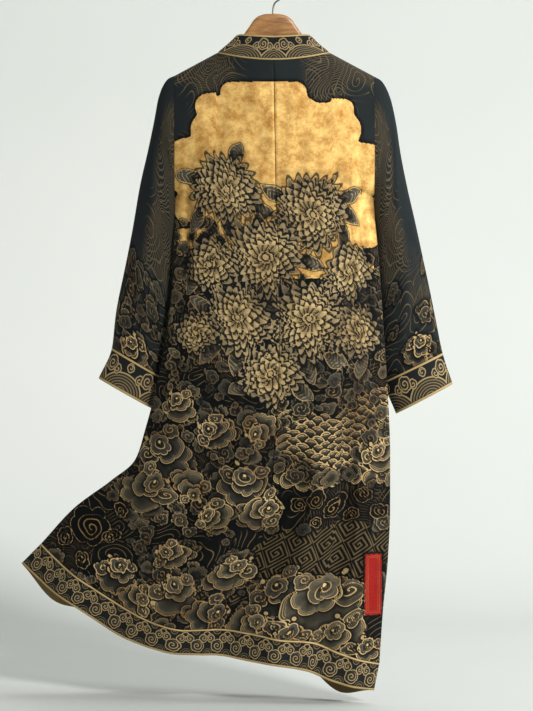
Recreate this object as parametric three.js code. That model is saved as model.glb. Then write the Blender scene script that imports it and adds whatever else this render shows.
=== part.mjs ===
import * as THREE from 'three';

// A long kimono robe that hangs on a wooden hanger, seen from its back, in millimetres.
// The robe's back faces -Y and its fronts face +Y. The origin is where the hook hangs.
// Left and right are the wearer's, so left is -X. The skirt is swept out to the left.

// Cloth and seams
const WALL = 2;
const SEAM_GAP = 0.3;
const HALF_GAP = SEAM_GAP / 2;

// Neck and shoulders
const SHOULDER = { leftX: -198, rightX: 204, leftZ: -187, rightZ: -188.5 };
const NECK = { leftX: -114.5, rightX: 117, sideZ: -142, sag: 18, depth: 42 };
const NECK_SHARE = 0.21;
const UNDERARM_SHARE = 0.2;
const ARMHOLE_DEPTH = 26;

// Widths of the borders
const COLLAR_WIDTH = 53;
const HEM_SHARE = 0.05;

// The two side seams below the shoulder. The share runs from the shoulder to the hem border.
const SIDES = [
  { share: 0, leftX: -198, leftZ: -187, rightX: 204, rightZ: -188.5 },
  { share: 0.2, leftX: -198, leftZ: -430, rightX: 204, rightZ: -430 },
  { share: 0.31, leftX: -199, leftZ: -556, rightX: 213, rightZ: -564 },
  { share: 0.44, leftX: -211, leftZ: -690, rightX: 222, rightZ: -700 },
  { share: 0.555, leftX: -233, leftZ: -808, rightX: 231, rightZ: -840 },
  { share: 0.65, leftX: -256, leftZ: -896, rightX: 235, rightZ: -952 },
  { share: 0.735, leftX: -279, leftZ: -962, rightX: 235, rightZ: -1056 },
  { share: 0.82, leftX: -329, leftZ: -1005, rightX: 231, rightZ: -1156 },
  { share: 0.91, leftX: -407, leftZ: -1063, rightX: 221, rightZ: -1264 },
  { share: 1, leftX: -477, leftZ: -1138, rightX: 214, rightZ: -1369 },
];

// How deep the robe hangs at each share: the side seams, the middle of the back and of the
// fronts, and how far the sweep carries the left side forwards.
const DEPTHS = [
  { share: 0, side: 0, back: 0, front: 0, sweep: 0 },
  { share: 0.004, side: -1, back: 10, front: 10, sweep: 0 },
  { share: 0.012, side: -3, back: 18, front: 17, sweep: 0 },
  { share: 0.03, side: -6, back: 27, front: 26, sweep: 0 },
  { share: 0.08, side: -6, back: 42, front: 37, sweep: 0 },
  { share: 0.2, side: 0, back: 58, front: 52, sweep: 0 },
  { share: 0.31, side: -25, back: 68, front: 60, sweep: 0 },
  { share: 0.44, side: -29, back: 74, front: 68, sweep: 0 },
  { share: 0.555, side: -29, back: 77, front: 74, sweep: 4 },
  { share: 0.65, side: -28, back: 78, front: 80, sweep: 16 },
  { share: 0.735, side: -26, back: 78, front: 85, sweep: 36 },
  { share: 0.82, side: -22, back: 77, front: 90, sweep: 66 },
  { share: 0.91, side: -18, back: 76, front: 94, sweep: 98 },
  { share: 1, side: -15, back: 74, front: 98, sweep: 124 },
];
const HEM_SWEEP = 14;

// The powers by which the sweep dies away from the left side, the back rounds off towards the
// side seams, the fronts do so, and the folds and drops stop at the seams
const SWEEP_POWER = 1.5;
const BACK_ROUNDING = 4;
const FRONT_ROUNDING = 2;
const SEAM_POWER = 16;

// How much of a fold's length it takes to rise, and to die away
const FOLD_RISE = 0.4;
const FOLD_FALL = 0.3;

// The hem border's seam and its lower edge across the back, from the left side to the right
const HEM = [
  { across: 0, seamX: -477, seamZ: -1138, edgeX: -519, edgeZ: -1180 },
  { across: 0.083, seamX: -424, seamZ: -1182, edgeX: -461, edgeZ: -1226 },
  { across: 0.18, seamX: -358, seamZ: -1226, edgeX: -387, edgeZ: -1273 },
  { across: 0.277, seamX: -288, seamZ: -1267, edgeX: -313, edgeZ: -1317 },
  { across: 0.358, seamX: -228, seamZ: -1291, edgeX: -244, edgeZ: -1341 },
  { across: 0.423, seamX: -176, seamZ: -1301, edgeX: -189, edgeZ: -1352 },
  { across: 0.5, seamX: -112, seamZ: -1299, edgeX: -120, edgeZ: -1353 },
  { across: 0.613, seamX: -37, seamZ: -1307, edgeX: -46, edgeZ: -1363 },
  { across: 0.698, seamX: 18, seamZ: -1317, edgeX: 9, edgeZ: -1371 },
  { across: 0.782, seamX: 74, seamZ: -1322, edgeX: 64, edgeZ: -1381 },
  { across: 0.871, seamX: 130, seamZ: -1343, edgeX: 118, edgeZ: -1403 },
  { across: 0.958, seamX: 185, seamZ: -1362, edgeX: 174, edgeZ: -1419 },
  { across: 1, seamX: 214, seamZ: -1369, edgeX: 203, edgeZ: -1424 },
];

// How far the fronts hang below the back, where their hems show under it, and the share down at
// which the drop starts
const DROP_START = 0.6;
const FRONT_DROPS = [
  { across: 0.09, width: 0.07, drop: 30 },
  { across: 0.9, width: 0.07, drop: 26 },
];

// Large folds: where each starts and ends, where it lies across the panel at its lower end, how
// far its upper end leans from there, and how far it stands out (or sinks, below zero).
const BACK_FOLDS = [
  { across: 0.05, lean: 0.02, start: 0.07, end: 0.6, width: 0.022, height: -7 },
  { across: 0.11, lean: 0.01, start: 0.1, end: 0.42, width: 0.03, height: 4 },
  { across: 0.945, lean: -0.02, start: 0.07, end: 0.62, width: 0.022, height: -7 },
  { across: 0.885, lean: -0.01, start: 0.1, end: 0.45, width: 0.03, height: 4 },
  { across: 0.12, lean: 0.1, start: 0.62, end: 1.2, width: 0.04, height: 13 },
  { across: 0.24, lean: 0.08, start: 0.58, end: 1.2, width: 0.045, height: -13 },
  { across: 0.38, lean: 0.06, start: 0.5, end: 1.2, width: 0.05, height: 12 },
  { across: 0.53, lean: 0.03, start: 0.55, end: 1.2, width: 0.05, height: -12 },
  { across: 0.68, lean: 0, start: 0.48, end: 1.2, width: 0.045, height: 13 },
  { across: 0.82, lean: -0.02, start: 0.45, end: 1.2, width: 0.045, height: -12 },
  { across: 0.93, lean: -0.02, start: 0.66, end: 1.2, width: 0.025, height: 8 },
];
const FRONT_FOLDS = [
  { across: 0.1, lean: 0.04, start: 0.4, end: 1.2, width: 0.035, height: 13 },
  { across: 0.2, lean: 0.04, start: 0.5, end: 1.2, width: 0.035, height: -12 },
  { across: 0.3, lean: 0.02, start: 0.35, end: 1.2, width: 0.035, height: 12 },
  { across: 0.7, lean: 0, start: 0.35, end: 1.2, width: 0.035, height: 12 },
  { across: 0.8, lean: -0.02, start: 0.5, end: 1.2, width: 0.035, height: -12 },
  { across: 0.9, lean: -0.04, start: 0.4, end: 1.2, width: 0.035, height: 12 },
];

// Where each front's edge lies across the robe
const FRONT_EDGE = [
  { share: 0, left: 0.21, right: 0.79 },
  { share: 0.05, left: 0.25, right: 0.75 },
  { share: 0.12, left: 0.295, right: 0.705 },
  { share: 0.22, left: 0.325, right: 0.675 },
  { share: 0.4, left: 0.338, right: 0.662 },
  { share: 1, left: 0.38, right: 0.62 },
];

// The way the collar leans from its seam: at the middle of the neck, at the shoulders and down
// the fronts, where "path" counts from the neck's middle at 0 by the shoulder at 1 to the hem.
const COLLAR_LEAN = [
  { path: 0, inX: 0, inY: 0.34, leftZ: 0.94, rightZ: 0.94 },
  { path: 0.7, inX: 0.5, inY: 0.22, leftZ: 0.84, rightZ: 0.84 },
  { path: 1, inX: 0.76, inY: 0.14, leftZ: 0.64, rightZ: 0.64 },
  { path: 1.04, inX: 0.87, inY: 0.2, leftZ: 0.42, rightZ: 0.42 },
  { path: 1.09, inX: 0.95, inY: 0.14, leftZ: 0.26, rightZ: 0.26 },
  { path: 1.2, inX: 0.99, inY: 0.06, leftZ: 0.12, rightZ: 0.12 },
  { path: 1.5, inX: 1, inY: 0.02, leftZ: 0.02, rightZ: -0.06 },
  { path: 2, inX: 0.97, inY: -0.08, leftZ: -0.22, rightZ: 0.1 },
];

// Sleeve sections from the armhole to the cuff's seam and the cuff's edge: the upper (outer) and
// lower (inner) ends of each oval, its half depth and how far forwards its middle lies.
const LEFT_SLEEVE = [
  { outerX: -198, outerZ: -187, innerX: -198, innerZ: -430, half: 26, middle: 0 },
  { outerX: -210.5, outerZ: -192.5, innerX: -199.3, innerZ: -437, half: 27, middle: 2 },
  { outerX: -222, outerZ: -207, innerX: -198.8, innerZ: -446, half: 28, middle: 4 },
  { outerX: -231, outerZ: -231, innerX: -197.6, innerZ: -460, half: 30, middle: 7 },
  { outerX: -240, outerZ: -277, innerX: -196.5, innerZ: -490, half: 32, middle: 11 },
  { outerX: -253.5, outerZ: -339.5, innerX: -196.5, innerZ: -534, half: 34, middle: 15 },
  { outerX: -268, outerZ: -404, innerX: -197.5, innerZ: -582, half: 35, middle: 17 },
  { outerX: -284, outerZ: -495, innerX: -202, innerZ: -640, half: 36, middle: 19 },
  { outerX: -300.5, outerZ: -578, innerX: -208, innerZ: -692, half: 36, middle: 20 },
  { outerX: -318, outerZ: -666, innerX: -217, innerZ: -742, half: 35, middle: 21 },
  { outerX: -326, outerZ: -735, innerX: -227, innerZ: -793, half: 34, middle: 22 },
  { outerX: -353, outerZ: -797, innerX: -245, innerZ: -858, half: 36, middle: 22 },
];
const RIGHT_SLEEVE = [
  { outerX: 204, outerZ: -188.5, innerX: 204, innerZ: -430, half: 26, middle: 0 },
  { outerX: 218, outerZ: -196.5, innerX: 205.6, innerZ: -436, half: 27, middle: 2 },
  { outerX: 229, outerZ: -212, innerX: 205.3, innerZ: -445, half: 28, middle: 4 },
  { outerX: 237.5, outerZ: -233, innerX: 205, innerZ: -459, half: 30, middle: 7 },
  { outerX: 249, outerZ: -283, innerX: 205, innerZ: -486, half: 32, middle: 11 },
  { outerX: 258, outerZ: -340.5, innerX: 206, innerZ: -526, half: 34, middle: 15 },
  { outerX: 271, outerZ: -408, innerX: 210.5, innerZ: -574, half: 35, middle: 17 },
  { outerX: 291.5, outerZ: -497, innerX: 214, innerZ: -632, half: 36, middle: 19 },
  { outerX: 308, outerZ: -573, innerX: 217.5, innerZ: -690, half: 36, middle: 20 },
  { outerX: 326, outerZ: -659, innerX: 221, innerZ: -750, half: 35, middle: 21 },
  { outerX: 343.5, outerZ: -745, innerX: 225, innerZ: -803, half: 34, middle: 22 },
  { outerX: 364, outerZ: -808, innerX: 249, innerZ: -868.5, half: 36, middle: 22 },
];
const CUFF_ROWS = 3;
const SLEEVE_SIDES = 20;

// Grid lines of the body panels
const HALF_ACROSS = [
  0, 0.02, 0.05, 0.1, 0.155, NECK_SHARE, 0.217, 0.235, 0.262, 0.3, 0.35, 0.4, 0.45, 0.5,
];
const DOWN = [
  0, 0.004, 0.012, 0.03, 0.06, 0.1, 0.15, UNDERARM_SHARE, 0.25, 0.31, 0.37, 0.44,
  0.5, 0.555, 0.6, 0.65, 0.695, 0.735, 0.78, 0.82, 0.865, 0.91, 0.955, 1,
];
const HEM_DOWN = [1, 1 + HEM_SHARE / 2, 1 + HEM_SHARE];
const FRONT_STEPS = [0, 0.08, 0.2, 0.34, 0.48, 0.62, 0.76, 0.88, 1];
const COLLAR_STEPS = 2;

// Steps over which the cloth's slope is taken, and the first place below the shoulder seam
const NORMAL_STEP = 0.004;
const FIRST_STEP = 0.0005;

// Hanger: wooden bar sections from the middle outwards, half of it, and the wire hook
const BAR = [
  { x: 0, top: -62, bottom: -128, half: 8.5 },
  { x: 14, top: -62.6, bottom: -129, half: 8.5 },
  { x: 27, top: -66, bottom: -131, half: 8.5 },
  { x: 38, top: -74, bottom: -134, half: 8.5 },
  { x: 47, top: -87, bottom: -138, half: 8.5 },
  { x: 59, top: -104, bottom: -142, half: 8 },
  { x: 74, top: -124, bottom: -149, half: 8 },
  { x: 92, top: -137.8, bottom: -159, half: 7 },
  { x: 112, top: -146.8, bottom: -169, half: 6.5 },
  { x: 135, top: -158.2, bottom: -181, half: 6.5 },
  { x: 160, top: -171.7, bottom: -194, half: 6.5 },
  { x: 180, top: -182.6, bottom: -205, half: 6 },
  { x: 189, top: -188.8, bottom: -207, half: 4 },
];
const BAR_SIDES = 14;
const WIRE_RADIUS = 1.75;
const HOOK_RADIUS = 20;
const HOOK_SIDES = 10;
const HOOK_STEPS = 44;

// The hook's path: the share of it that rises from the bar, where the round part starts and ends,
// and how far the wire keeps straight at each end of the rise
const HOOK_RISE = 0.35;
const HOOK_START = -Math.PI / 3;
const HOOK_END = 1.15 * Math.PI;
const FOOT_LENGTH = 16;
const JOIN_LENGTH = 9;

const lerp = THREE.MathUtils.lerp;

// A smooth line through one column of a table: cubic pieces whose slopes are the harmonic mean of
// the neighbouring chords, and level where the column turns, so that it never passes a row.
function through(rows, key, column) {
  const at = rows.map((row) => row[key]);
  const value = rows.map((row) => row[column]);
  const last = rows.length - 1;
  const chord = (i) => (value[i + 1] - value[i]) / (at[i + 1] - at[i]);
  const slope = value.map((_, i) => {
    if (i === 0 || i === last) {
      return chord(Math.min(i, last - 1));
    }
    const before = chord(i - 1);
    const after = chord(i);
    return before * after <= 0 ? 0 : (2 * before * after) / (before + after);
  });
  return (x) => {
    let i = 0;
    while (i < last - 1 && x > at[i + 1]) {
      i += 1;
    }
    const span = at[i + 1] - at[i];
    const t = (x - at[i]) / span;
    const rise = value[i + 1] - value[i];
    const a = slope[i] * span - rise;
    const b = rise - slope[i + 1] * span;
    return value[i] + t * rise + t * (1 - t) * (a * (1 - t) + b * t);
  };
}

// One smooth line for each named column
function lines(rows, key, columns) {
  return Object.fromEntries(columns.map((column) => [column, through(rows, key, column)]));
}

const side = lines(SIDES, 'share', ['leftX', 'leftZ', 'rightX', 'rightZ']);
const deep = lines(DEPTHS, 'share', ['side', 'back', 'front', 'sweep']);
const hem = lines(HEM, 'across', ['seamX', 'seamZ', 'edgeX', 'edgeZ']);
const edge = lines(FRONT_EDGE, 'share', ['left', 'right']);
const lean = lines(COLLAR_LEAN, 'path', ['inX', 'inY', 'leftZ', 'rightZ']);

function smoothstep(low, high, x) {
  return THREE.MathUtils.smoothstep(x, low, high);
}

// The top line of the body: straight shoulders and a neck that sags as a parabola
function topLine(u) {
  if (u <= NECK_SHARE) {
    const t = u / NECK_SHARE;
    return [lerp(SHOULDER.leftX, NECK.leftX, t), lerp(SHOULDER.leftZ, NECK.sideZ, t)];
  }
  if (u >= 1 - NECK_SHARE) {
    const t = (1 - u) / NECK_SHARE;
    return [lerp(SHOULDER.rightX, NECK.rightX, t), lerp(SHOULDER.rightZ, NECK.sideZ, t)];
  }
  const t = (u - NECK_SHARE) / (1 - 2 * NECK_SHARE);
  return [lerp(NECK.leftX, NECK.rightX, t), NECK.sideZ - NECK.sag * 4 * t * (1 - t)];
}

// How deep the neck's seam lies behind the shoulder line: half an ellipse
function neckDepth(u) {
  const t = (2 * u - 1) / (1 - 2 * NECK_SHARE);
  return NECK.depth * Math.sqrt(Math.max(0, 1 - t * t));
}

// The outline plane's patch between the top line, the two sides and the hem border's seam, with
// the border ruled on from that seam to the hem's edge
function outline(u, v) {
  const w = Math.min(v, 1);
  const top = topLine(u);
  const topLeft = topLine(0);
  const topRight = topLine(1);
  const patch = (t, l, r, s, tl, tr, sl, sr) => {
    const ruled = (1 - w) * t + w * s + (1 - u) * l + u * r;
    return ruled - (1 - w) * ((1 - u) * tl + u * tr) - w * ((1 - u) * sl + u * sr);
  };
  const x = patch(
    top[0], side.leftX(w), side.rightX(w), hem.seamX(u),
    topLeft[0], topRight[0], hem.seamX(0), hem.seamX(1),
  );
  const z = patch(
    top[1], side.leftZ(w), side.rightZ(w), hem.seamZ(u),
    topLeft[1], topRight[1], hem.seamZ(0), hem.seamZ(1),
  );
  const t = Math.max(0, v - 1) / HEM_SHARE;
  return [x + t * (hem.edgeX(u) - hem.seamX(u)), z + t * (hem.edgeZ(u) - hem.seamZ(u))];
}

// The sum of the folds: each is a bell across the cloth that fades in and out along it, and all
// of them die away at the side seams
function folds(table, u, v) {
  const away = 1 - Math.pow(Math.abs(2 * u - 1), SEAM_POWER);
  return table.reduce((sum, fold) => {
    const offset = (u - fold.across - fold.lean * (1 - v)) / fold.width;
    const length = fold.end - fold.start;
    const fadeIn = smoothstep(fold.start, fold.start + FOLD_RISE * length, v);
    const fadeOut = 1 - smoothstep(fold.end - FOLD_FALL * length, fold.end, v);
    return sum + away * fold.height * Math.exp(-offset * offset) * fadeIn * fadeOut;
  }, 0);
}

// Half the depth of the oval armhole at a share down from the shoulder, and none below it
function armhole(v) {
  const c = 1 - (2 * v) / UNDERARM_SHARE;
  return ARMHOLE_DEPTH * Math.sqrt(Math.max(0, 1 - c * c));
}

// How far the sweep carries a point forwards
function swept(u, v) {
  const past = Math.max(0, v - 1) / HEM_SHARE;
  return (deep.sweep(Math.min(v, 1)) + HEM_SWEEP * past) * Math.pow(1 - u, SWEEP_POWER);
}

function sideDepth(v) {
  return v < UNDERARM_SHARE ? 0 : deep.side(Math.min(v, 1));
}

// The back: it swells from the side seams to the middle, and near the neck it starts at the neck
// seam's own depth
function backPoint(u, v) {
  const [x, z] = outline(u, v);
  const rim = Math.pow(Math.abs(2 * u - 1), BACK_ROUNDING);
  const w = Math.min(v, 1);
  const swell = rim * (armhole(v) - sideDepth(v)) + (1 - rim) * deep.back(w);
  const depth = Math.cbrt(Math.pow(Math.max(0, swell), 3) + Math.pow(neckDepth(u), 3));
  return new THREE.Vector3(x, -depth - folds(BACK_FOLDS, u, v) + swept(u, v), z);
}

// The fronts: the same outline, swelling forwards, and hanging lower in two places
function frontPoint(u, v) {
  const [x, z] = outline(u, v);
  const rim = Math.pow(Math.abs(2 * u - 1), FRONT_ROUNDING);
  const w = Math.min(v, 1);
  const swell = rim * (armhole(v) + sideDepth(v)) + (1 - rim) * deep.front(w);
  const low = FRONT_DROPS.reduce((sum, row) => {
    const offset = (u - row.across) / row.width;
    return sum + row.drop * Math.exp(-offset * offset);
  }, 0);
  const still = 1 - Math.pow(Math.abs(2 * u - 1), SEAM_POWER);
  const drop = low * smoothstep(DROP_START, 1, v) * still;
  return new THREE.Vector3(x, swell + folds(FRONT_FOLDS, u, v) + swept(u, v), z - drop);
}

// The cloth's outward normal, from steps to both sides of a point inside the panel's bounds.
// On the shoulder seam and the side seams it lies in the seam's plane, and along the armhole it
// has no part across it, so that neighbours meet face to face.
function clothNormal(point, facing, u, v) {
  const step = NORMAL_STEP;
  const acrossLow = point(Math.max(0, u - step), v);
  const acrossHigh = point(Math.min(1, u + step), v);
  const downLow = point(u, Math.max(FIRST_STEP, v - step));
  const downHigh = point(u, Math.min(1 + HEM_SHARE, v + step));
  const across = acrossHigh.sub(acrossLow);
  const down = downHigh.sub(downLow);
  const normal = new THREE.Vector3().crossVectors(across, down).multiplyScalar(facing);
  const atSide = u <= 0 || u >= 1;
  const atShoulder = v <= 0 && (u <= NECK_SHARE || u >= 1 - NECK_SHARE);
  if (atSide && v < UNDERARM_SHARE) {
    normal.x = 0;
  }
  if (atSide && v >= UNDERARM_SHARE) {
    normal.set((u - 0.5) * Math.abs(down.z), 0, (u - 0.5) * down.x);
  }
  if (atShoulder) {
    normal.set(-across.z, 0, across.x);
  }
  if (atSide && v <= 0) {
    normal.set(0, 0, 1);
  }
  return normal.normalize();
}

// Outer and inner points of a stretch of cloth at the given places, each nudged off its seams
function clothPoint(point, facing, u, v, nudge) {
  const normal = clothNormal(point, facing, u, v);
  const outer = point(u, v).add(nudge);
  return { outer, inner: outer.clone().addScaledVector(normal, -WALL), normal };
}

// A closed wall from a grid of outer and inner points; columns join up round a tube. From the row
// mirrorFrom on, its faces are split along the other diagonal, as they are on a mirrored panel.
function wall(grid, wrap, mirrorFrom = Infinity) {
  const rows = grid.length;
  const columns = grid[0].length;
  const size = rows * columns;
  const positions = [];
  grid.flat().forEach((cell) => positions.push(...cell.outer.toArray()));
  grid.flat().forEach((cell) => positions.push(...cell.inner.toArray()));
  const triangles = [];
  let mirrored = false;
  const quad = (a, b, c, d) => {
    if (mirrored) {
      triangles.push([a, b, d], [b, c, d]);
    } else {
      triangles.push([a, b, c], [a, c, d]);
    }
  };
  const at = (r, c) => r * columns + (c % columns);
  const lastColumn = wrap ? columns : columns - 1;
  for (let r = 0; r < rows - 1; r += 1) {
    mirrored = r >= mirrorFrom;
    for (let c = 0; c < lastColumn; c += 1) {
      quad(at(r, c), at(r + 1, c), at(r + 1, c + 1), at(r, c + 1));
      quad(size + at(r, c), size + at(r, c + 1), size + at(r + 1, c + 1), size + at(r + 1, c));
    }
    if (!wrap) {
      quad(at(r, 0), size + at(r, 0), size + at(r + 1, 0), at(r + 1, 0));
      const c = columns - 1;
      quad(at(r, c), at(r + 1, c), size + at(r + 1, c), size + at(r, c));
    }
  }
  for (let c = 0; c < lastColumn; c += 1) {
    quad(at(0, c), at(0, c + 1), size + at(0, c + 1), size + at(0, c));
    const r = rows - 1;
    quad(at(r, c), size + at(r, c), size + at(r, c + 1), at(r, c + 1));
  }
  return solid(positions, triangles);
}

// A geometry whose faces point out: the signed volume tells which way the triangles run
function solid(positions, triangles) {
  const corner = (i) => new THREE.Vector3().fromArray(positions, 3 * i);
  const volume = triangles.reduce((sum, [a, b, c]) => {
    return sum + corner(a).dot(corner(b).cross(corner(c)));
  }, 0);
  const index = triangles.flatMap(([a, b, c]) => (volume > 0 ? [a, b, c] : [a, c, b]));
  const geometry = new THREE.BufferGeometry();
  geometry.setAttribute('position', new THREE.Float32BufferAttribute(positions, 3));
  geometry.setIndex(index);
  geometry.computeVertexNormals();
  return geometry;
}

// A panel of the body: the back or a front between two lines across, on the given rows
function panel(point, facing, acrossAt, rows) {
  const grid = rows.map((v) => {
    return acrossAt(v).map(({ u, nudgeX }) => {
      const nudgeY = u <= 0 || u >= 1 || v <= 0 ? facing * HALF_GAP : 0;
      const nudgeZ = v === 1 ? (rows[0] >= 1 ? -HALF_GAP : HALF_GAP) : 0;
      const inNeck = v <= 0 && u > NECK_SHARE && u < 1 - NECK_SHARE;
      const nudge = new THREE.Vector3(nudgeX, inNeck ? 0 : nudgeY, nudgeZ);
      return clothPoint(point, facing, u, v, nudge);
    });
  });
  return wall(grid, false);
}

const FACING_BACK = -1;
const FACING_FRONT = 1;

function backHalf(sign, rows) {
  const across = sign < 0 ? HALF_ACROSS : HALF_ACROSS.map((u) => 1 - u);
  const row = across.map((u) => ({ u, nudgeX: u === 0.5 ? sign * HALF_GAP : 0 }));
  return panel(backPoint, FACING_BACK, () => row, rows);
}

function hemBack() {
  const all = [...HALF_ACROSS, ...HALF_ACROSS.slice(0, -1).reverse().map((u) => 1 - u)];
  const row = all.map((u) => ({ u, nudgeX: 0 }));
  return panel(backPoint, FACING_BACK, () => row, HEM_DOWN);
}

function frontEdge(sign, v) {
  const w = Math.min(v, 1);
  return sign < 0 ? edge.left(w) : edge.right(w);
}

function frontPanel(sign, rows) {
  const acrossAt = (v) => {
    const end = frontEdge(sign, v);
    return FRONT_STEPS.map((t) => ({ u: sign < 0 ? t * end : 1 - t * (1 - end), nudgeX: 0 }));
  };
  return panel(frontPoint, FACING_FRONT, acrossAt, rows);
}

// The seam that the collar is sewn to: half of the back neck, then down a front's edge
function collarSeam(sign) {
  const neck = HALF_ACROSS.filter((u) => u > NECK_SHARE).reverse();
  const places = neck.map((u) => {
    const across = sign < 0 ? u : 1 - u;
    const path = (0.5 - u) / (0.5 - NECK_SHARE);
    return { path, ...clothPoint(backPoint, FACING_BACK, across, 0, new THREE.Vector3()) };
  });
  [...DOWN, ...HEM_DOWN.slice(1)].forEach((v) => {
    const across = frontEdge(sign, v);
    places.push({
      path: 1 + v,
      ...clothPoint(frontPoint, FACING_FRONT, across, v, new THREE.Vector3()),
    });
  });
  return places;
}

// The collar: from its seam a band runs the collar's width in the direction that it leans
function collar() {
  const left = collarSeam(-1).map((place) => ({ ...place, sign: -1 }));
  const right = collarSeam(1).map((place) => ({ ...place, sign: 1 }));
  const places = [...left.reverse(), ...right.slice(1)];
  const grid = places.map((place) => {
    const path = Math.min(place.path, 2);
    const up = place.sign < 0 ? lean.leftZ(path) : lean.rightZ(path);
    const away = new THREE.Vector3(-place.sign * lean.inX(path), lean.inY(path), up).normalize();
    const normal = place.normal.clone().addScaledVector(away, -place.normal.dot(away)).normalize();
    return Array.from({ length: COLLAR_STEPS + 1 }, (_, i) => {
      const reach = SEAM_GAP + (i / COLLAR_STEPS) * COLLAR_WIDTH;
      const outer = place.outer.clone().addScaledVector(away, reach);
      const inward = i === 0 ? place.normal : normal;
      return { outer, inner: outer.clone().addScaledVector(inward, -WALL) };
    });
  });
  return wall(grid, false, left.length - 1);
}

// A sleeve's oval: half an ellipse's width along the line between its ends, half across it
function sleevePoint(row, angle, inset) {
  const outer = new THREE.Vector3(row.outerX, 0, row.outerZ);
  const inner = new THREE.Vector3(row.innerX, 0, row.innerZ);
  const middle = outer.clone().add(inner).multiplyScalar(0.5);
  const half = outer.clone().sub(inner).multiplyScalar(0.5);
  const length = half.length();
  const along = half.clone().divideScalar(length);
  const across = new THREE.Vector3(0, 1, 0);
  const normal = along.clone().multiplyScalar(Math.cos(angle) / length);
  normal.addScaledVector(across, Math.sin(angle) / row.half).normalize();
  middle.y = row.middle;
  middle.addScaledVector(along, length * Math.cos(angle));
  middle.addScaledVector(across, row.half * Math.sin(angle));
  return middle.addScaledVector(normal, -inset);
}

// Blended sections between two rows of the sleeve's table
function sections(rows, first, last, between) {
  const columns = Object.keys(rows[0]);
  const numbered = rows.map((row, i) => ({ ...row, number: i }));
  const smooth = lines(numbered, 'number', columns);
  const count = (last - first) * between;
  return Array.from({ length: count + 1 }, (_, i) => {
    const at = first + i / between;
    return Object.fromEntries(columns.map((column) => [column, smooth[column](at)]));
  });
}

// A tube of cloth through oval sections, moved along X or along its end by half a seam's gap
function tube(rows, startNudge, endNudge) {
  const grid = rows.map((row, r) => {
    const nudge = new THREE.Vector3();
    if (r === 0) {
      nudge.copy(startNudge);
    }
    if (r === rows.length - 1) {
      nudge.copy(endNudge);
    }
    return Array.from({ length: SLEEVE_SIDES }, (_, c) => {
      const angle = (2 * Math.PI * c) / SLEEVE_SIDES;
      const outer = sleevePoint(row, angle, 0).add(nudge);
      return { outer, inner: sleevePoint(row, angle, WALL).add(nudge) };
    });
  });
  return wall(grid, true);
}

// The way along the arm at the cuff's seam, square to the seam's oval
function cuffWay(table) {
  const row = table[table.length - 2];
  const way = new THREE.Vector3(row.outerZ - row.innerZ, 0, row.innerX - row.outerX);
  return way.normalize().multiplyScalar(way.z > 0 ? -1 : 1);
}

function sleeve(table, sign) {
  const rows = sections(table, 0, table.length - 2, 1);
  const start = new THREE.Vector3(sign * SEAM_GAP, 0, 0);
  return tube(rows, start, cuffWay(table).multiplyScalar(-HALF_GAP));
}

function cuff(table) {
  const rows = sections(table, table.length - 2, table.length - 1, CUFF_ROWS);
  return tube(rows, cuffWay(table).multiplyScalar(HALF_GAP), new THREE.Vector3());
}

// The hanger's bar: rounded-oblong sections across the bar, closed at both tips
function hangerBar() {
  const smooth = lines(BAR, 'x', ['top', 'bottom', 'half']);
  const places = BAR.map((row) => row.x);
  const all = [...places.slice(1).reverse().map((x) => -x), ...places];
  const positions = [];
  all.forEach((x) => {
    const top = smooth.top(Math.abs(x));
    const bottom = smooth.bottom(Math.abs(x));
    const half = smooth.half(Math.abs(x));
    for (let c = 0; c < BAR_SIDES; c += 1) {
      const angle = (2 * Math.PI * (c + 0.5)) / BAR_SIDES;
      const round = (n) => Math.sign(n) * Math.sqrt(Math.abs(n));
      const rise = round(Math.sin(angle)) / round(Math.sin(Math.PI / 2 - Math.PI / BAR_SIDES));
      const y = half * round(Math.cos(angle));
      positions.push(x, y, (top + bottom) / 2 + Math.min(1, rise) * ((top - bottom) / 2));
    }
  });
  const triangles = [];
  for (let r = 0; r < all.length - 1; r += 1) {
    for (let c = 0; c < BAR_SIDES; c += 1) {
      const next = (c + 1) % BAR_SIDES;
      const a = r * BAR_SIDES + c;
      const b = r * BAR_SIDES + next;
      triangles.push([a, b, b + BAR_SIDES], [a, b + BAR_SIDES, a + BAR_SIDES]);
    }
  }
  const last = (all.length - 1) * BAR_SIDES;
  for (let c = 1; c < BAR_SIDES - 1; c += 1) {
    triangles.push([0, c + 1, c], [last, last + c, last + c + 1]);
  }
  return solid(positions, triangles);
}

// The hook's wire: up from the bar, out to one side and round over the hanging point
class HookPath extends THREE.Curve {
  getPoint(t, target = new THREE.Vector3()) {
    const centreZ = WIRE_RADIUS - HOOK_RADIUS;
    const foot = BAR[0].top + SEAM_GAP;
    const join = new THREE.Vector3(Math.cos(HOOK_START), 0, Math.sin(HOOK_START));
    join.multiplyScalar(HOOK_RADIUS).add(new THREE.Vector3(0, 0, centreZ));
    if (t < HOOK_RISE) {
      const from = new THREE.Vector3(0, 0, foot);
      const up = new THREE.Vector3(0, 0, foot + FOOT_LENGTH);
      const way = new THREE.Vector3(-Math.sin(HOOK_START), 0, Math.cos(HOOK_START));
      const before = join.clone().addScaledVector(way, -JOIN_LENGTH);
      const curve = new THREE.CubicBezierCurve3(from, up, before, join);
      return target.copy(curve.getPoint(t / HOOK_RISE));
    }
    const angle = lerp(HOOK_START, HOOK_END, (t - HOOK_RISE) / (1 - HOOK_RISE));
    return target.set(HOOK_RADIUS * Math.cos(angle), 0, centreZ + HOOK_RADIUS * Math.sin(angle));
  }
}

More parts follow.
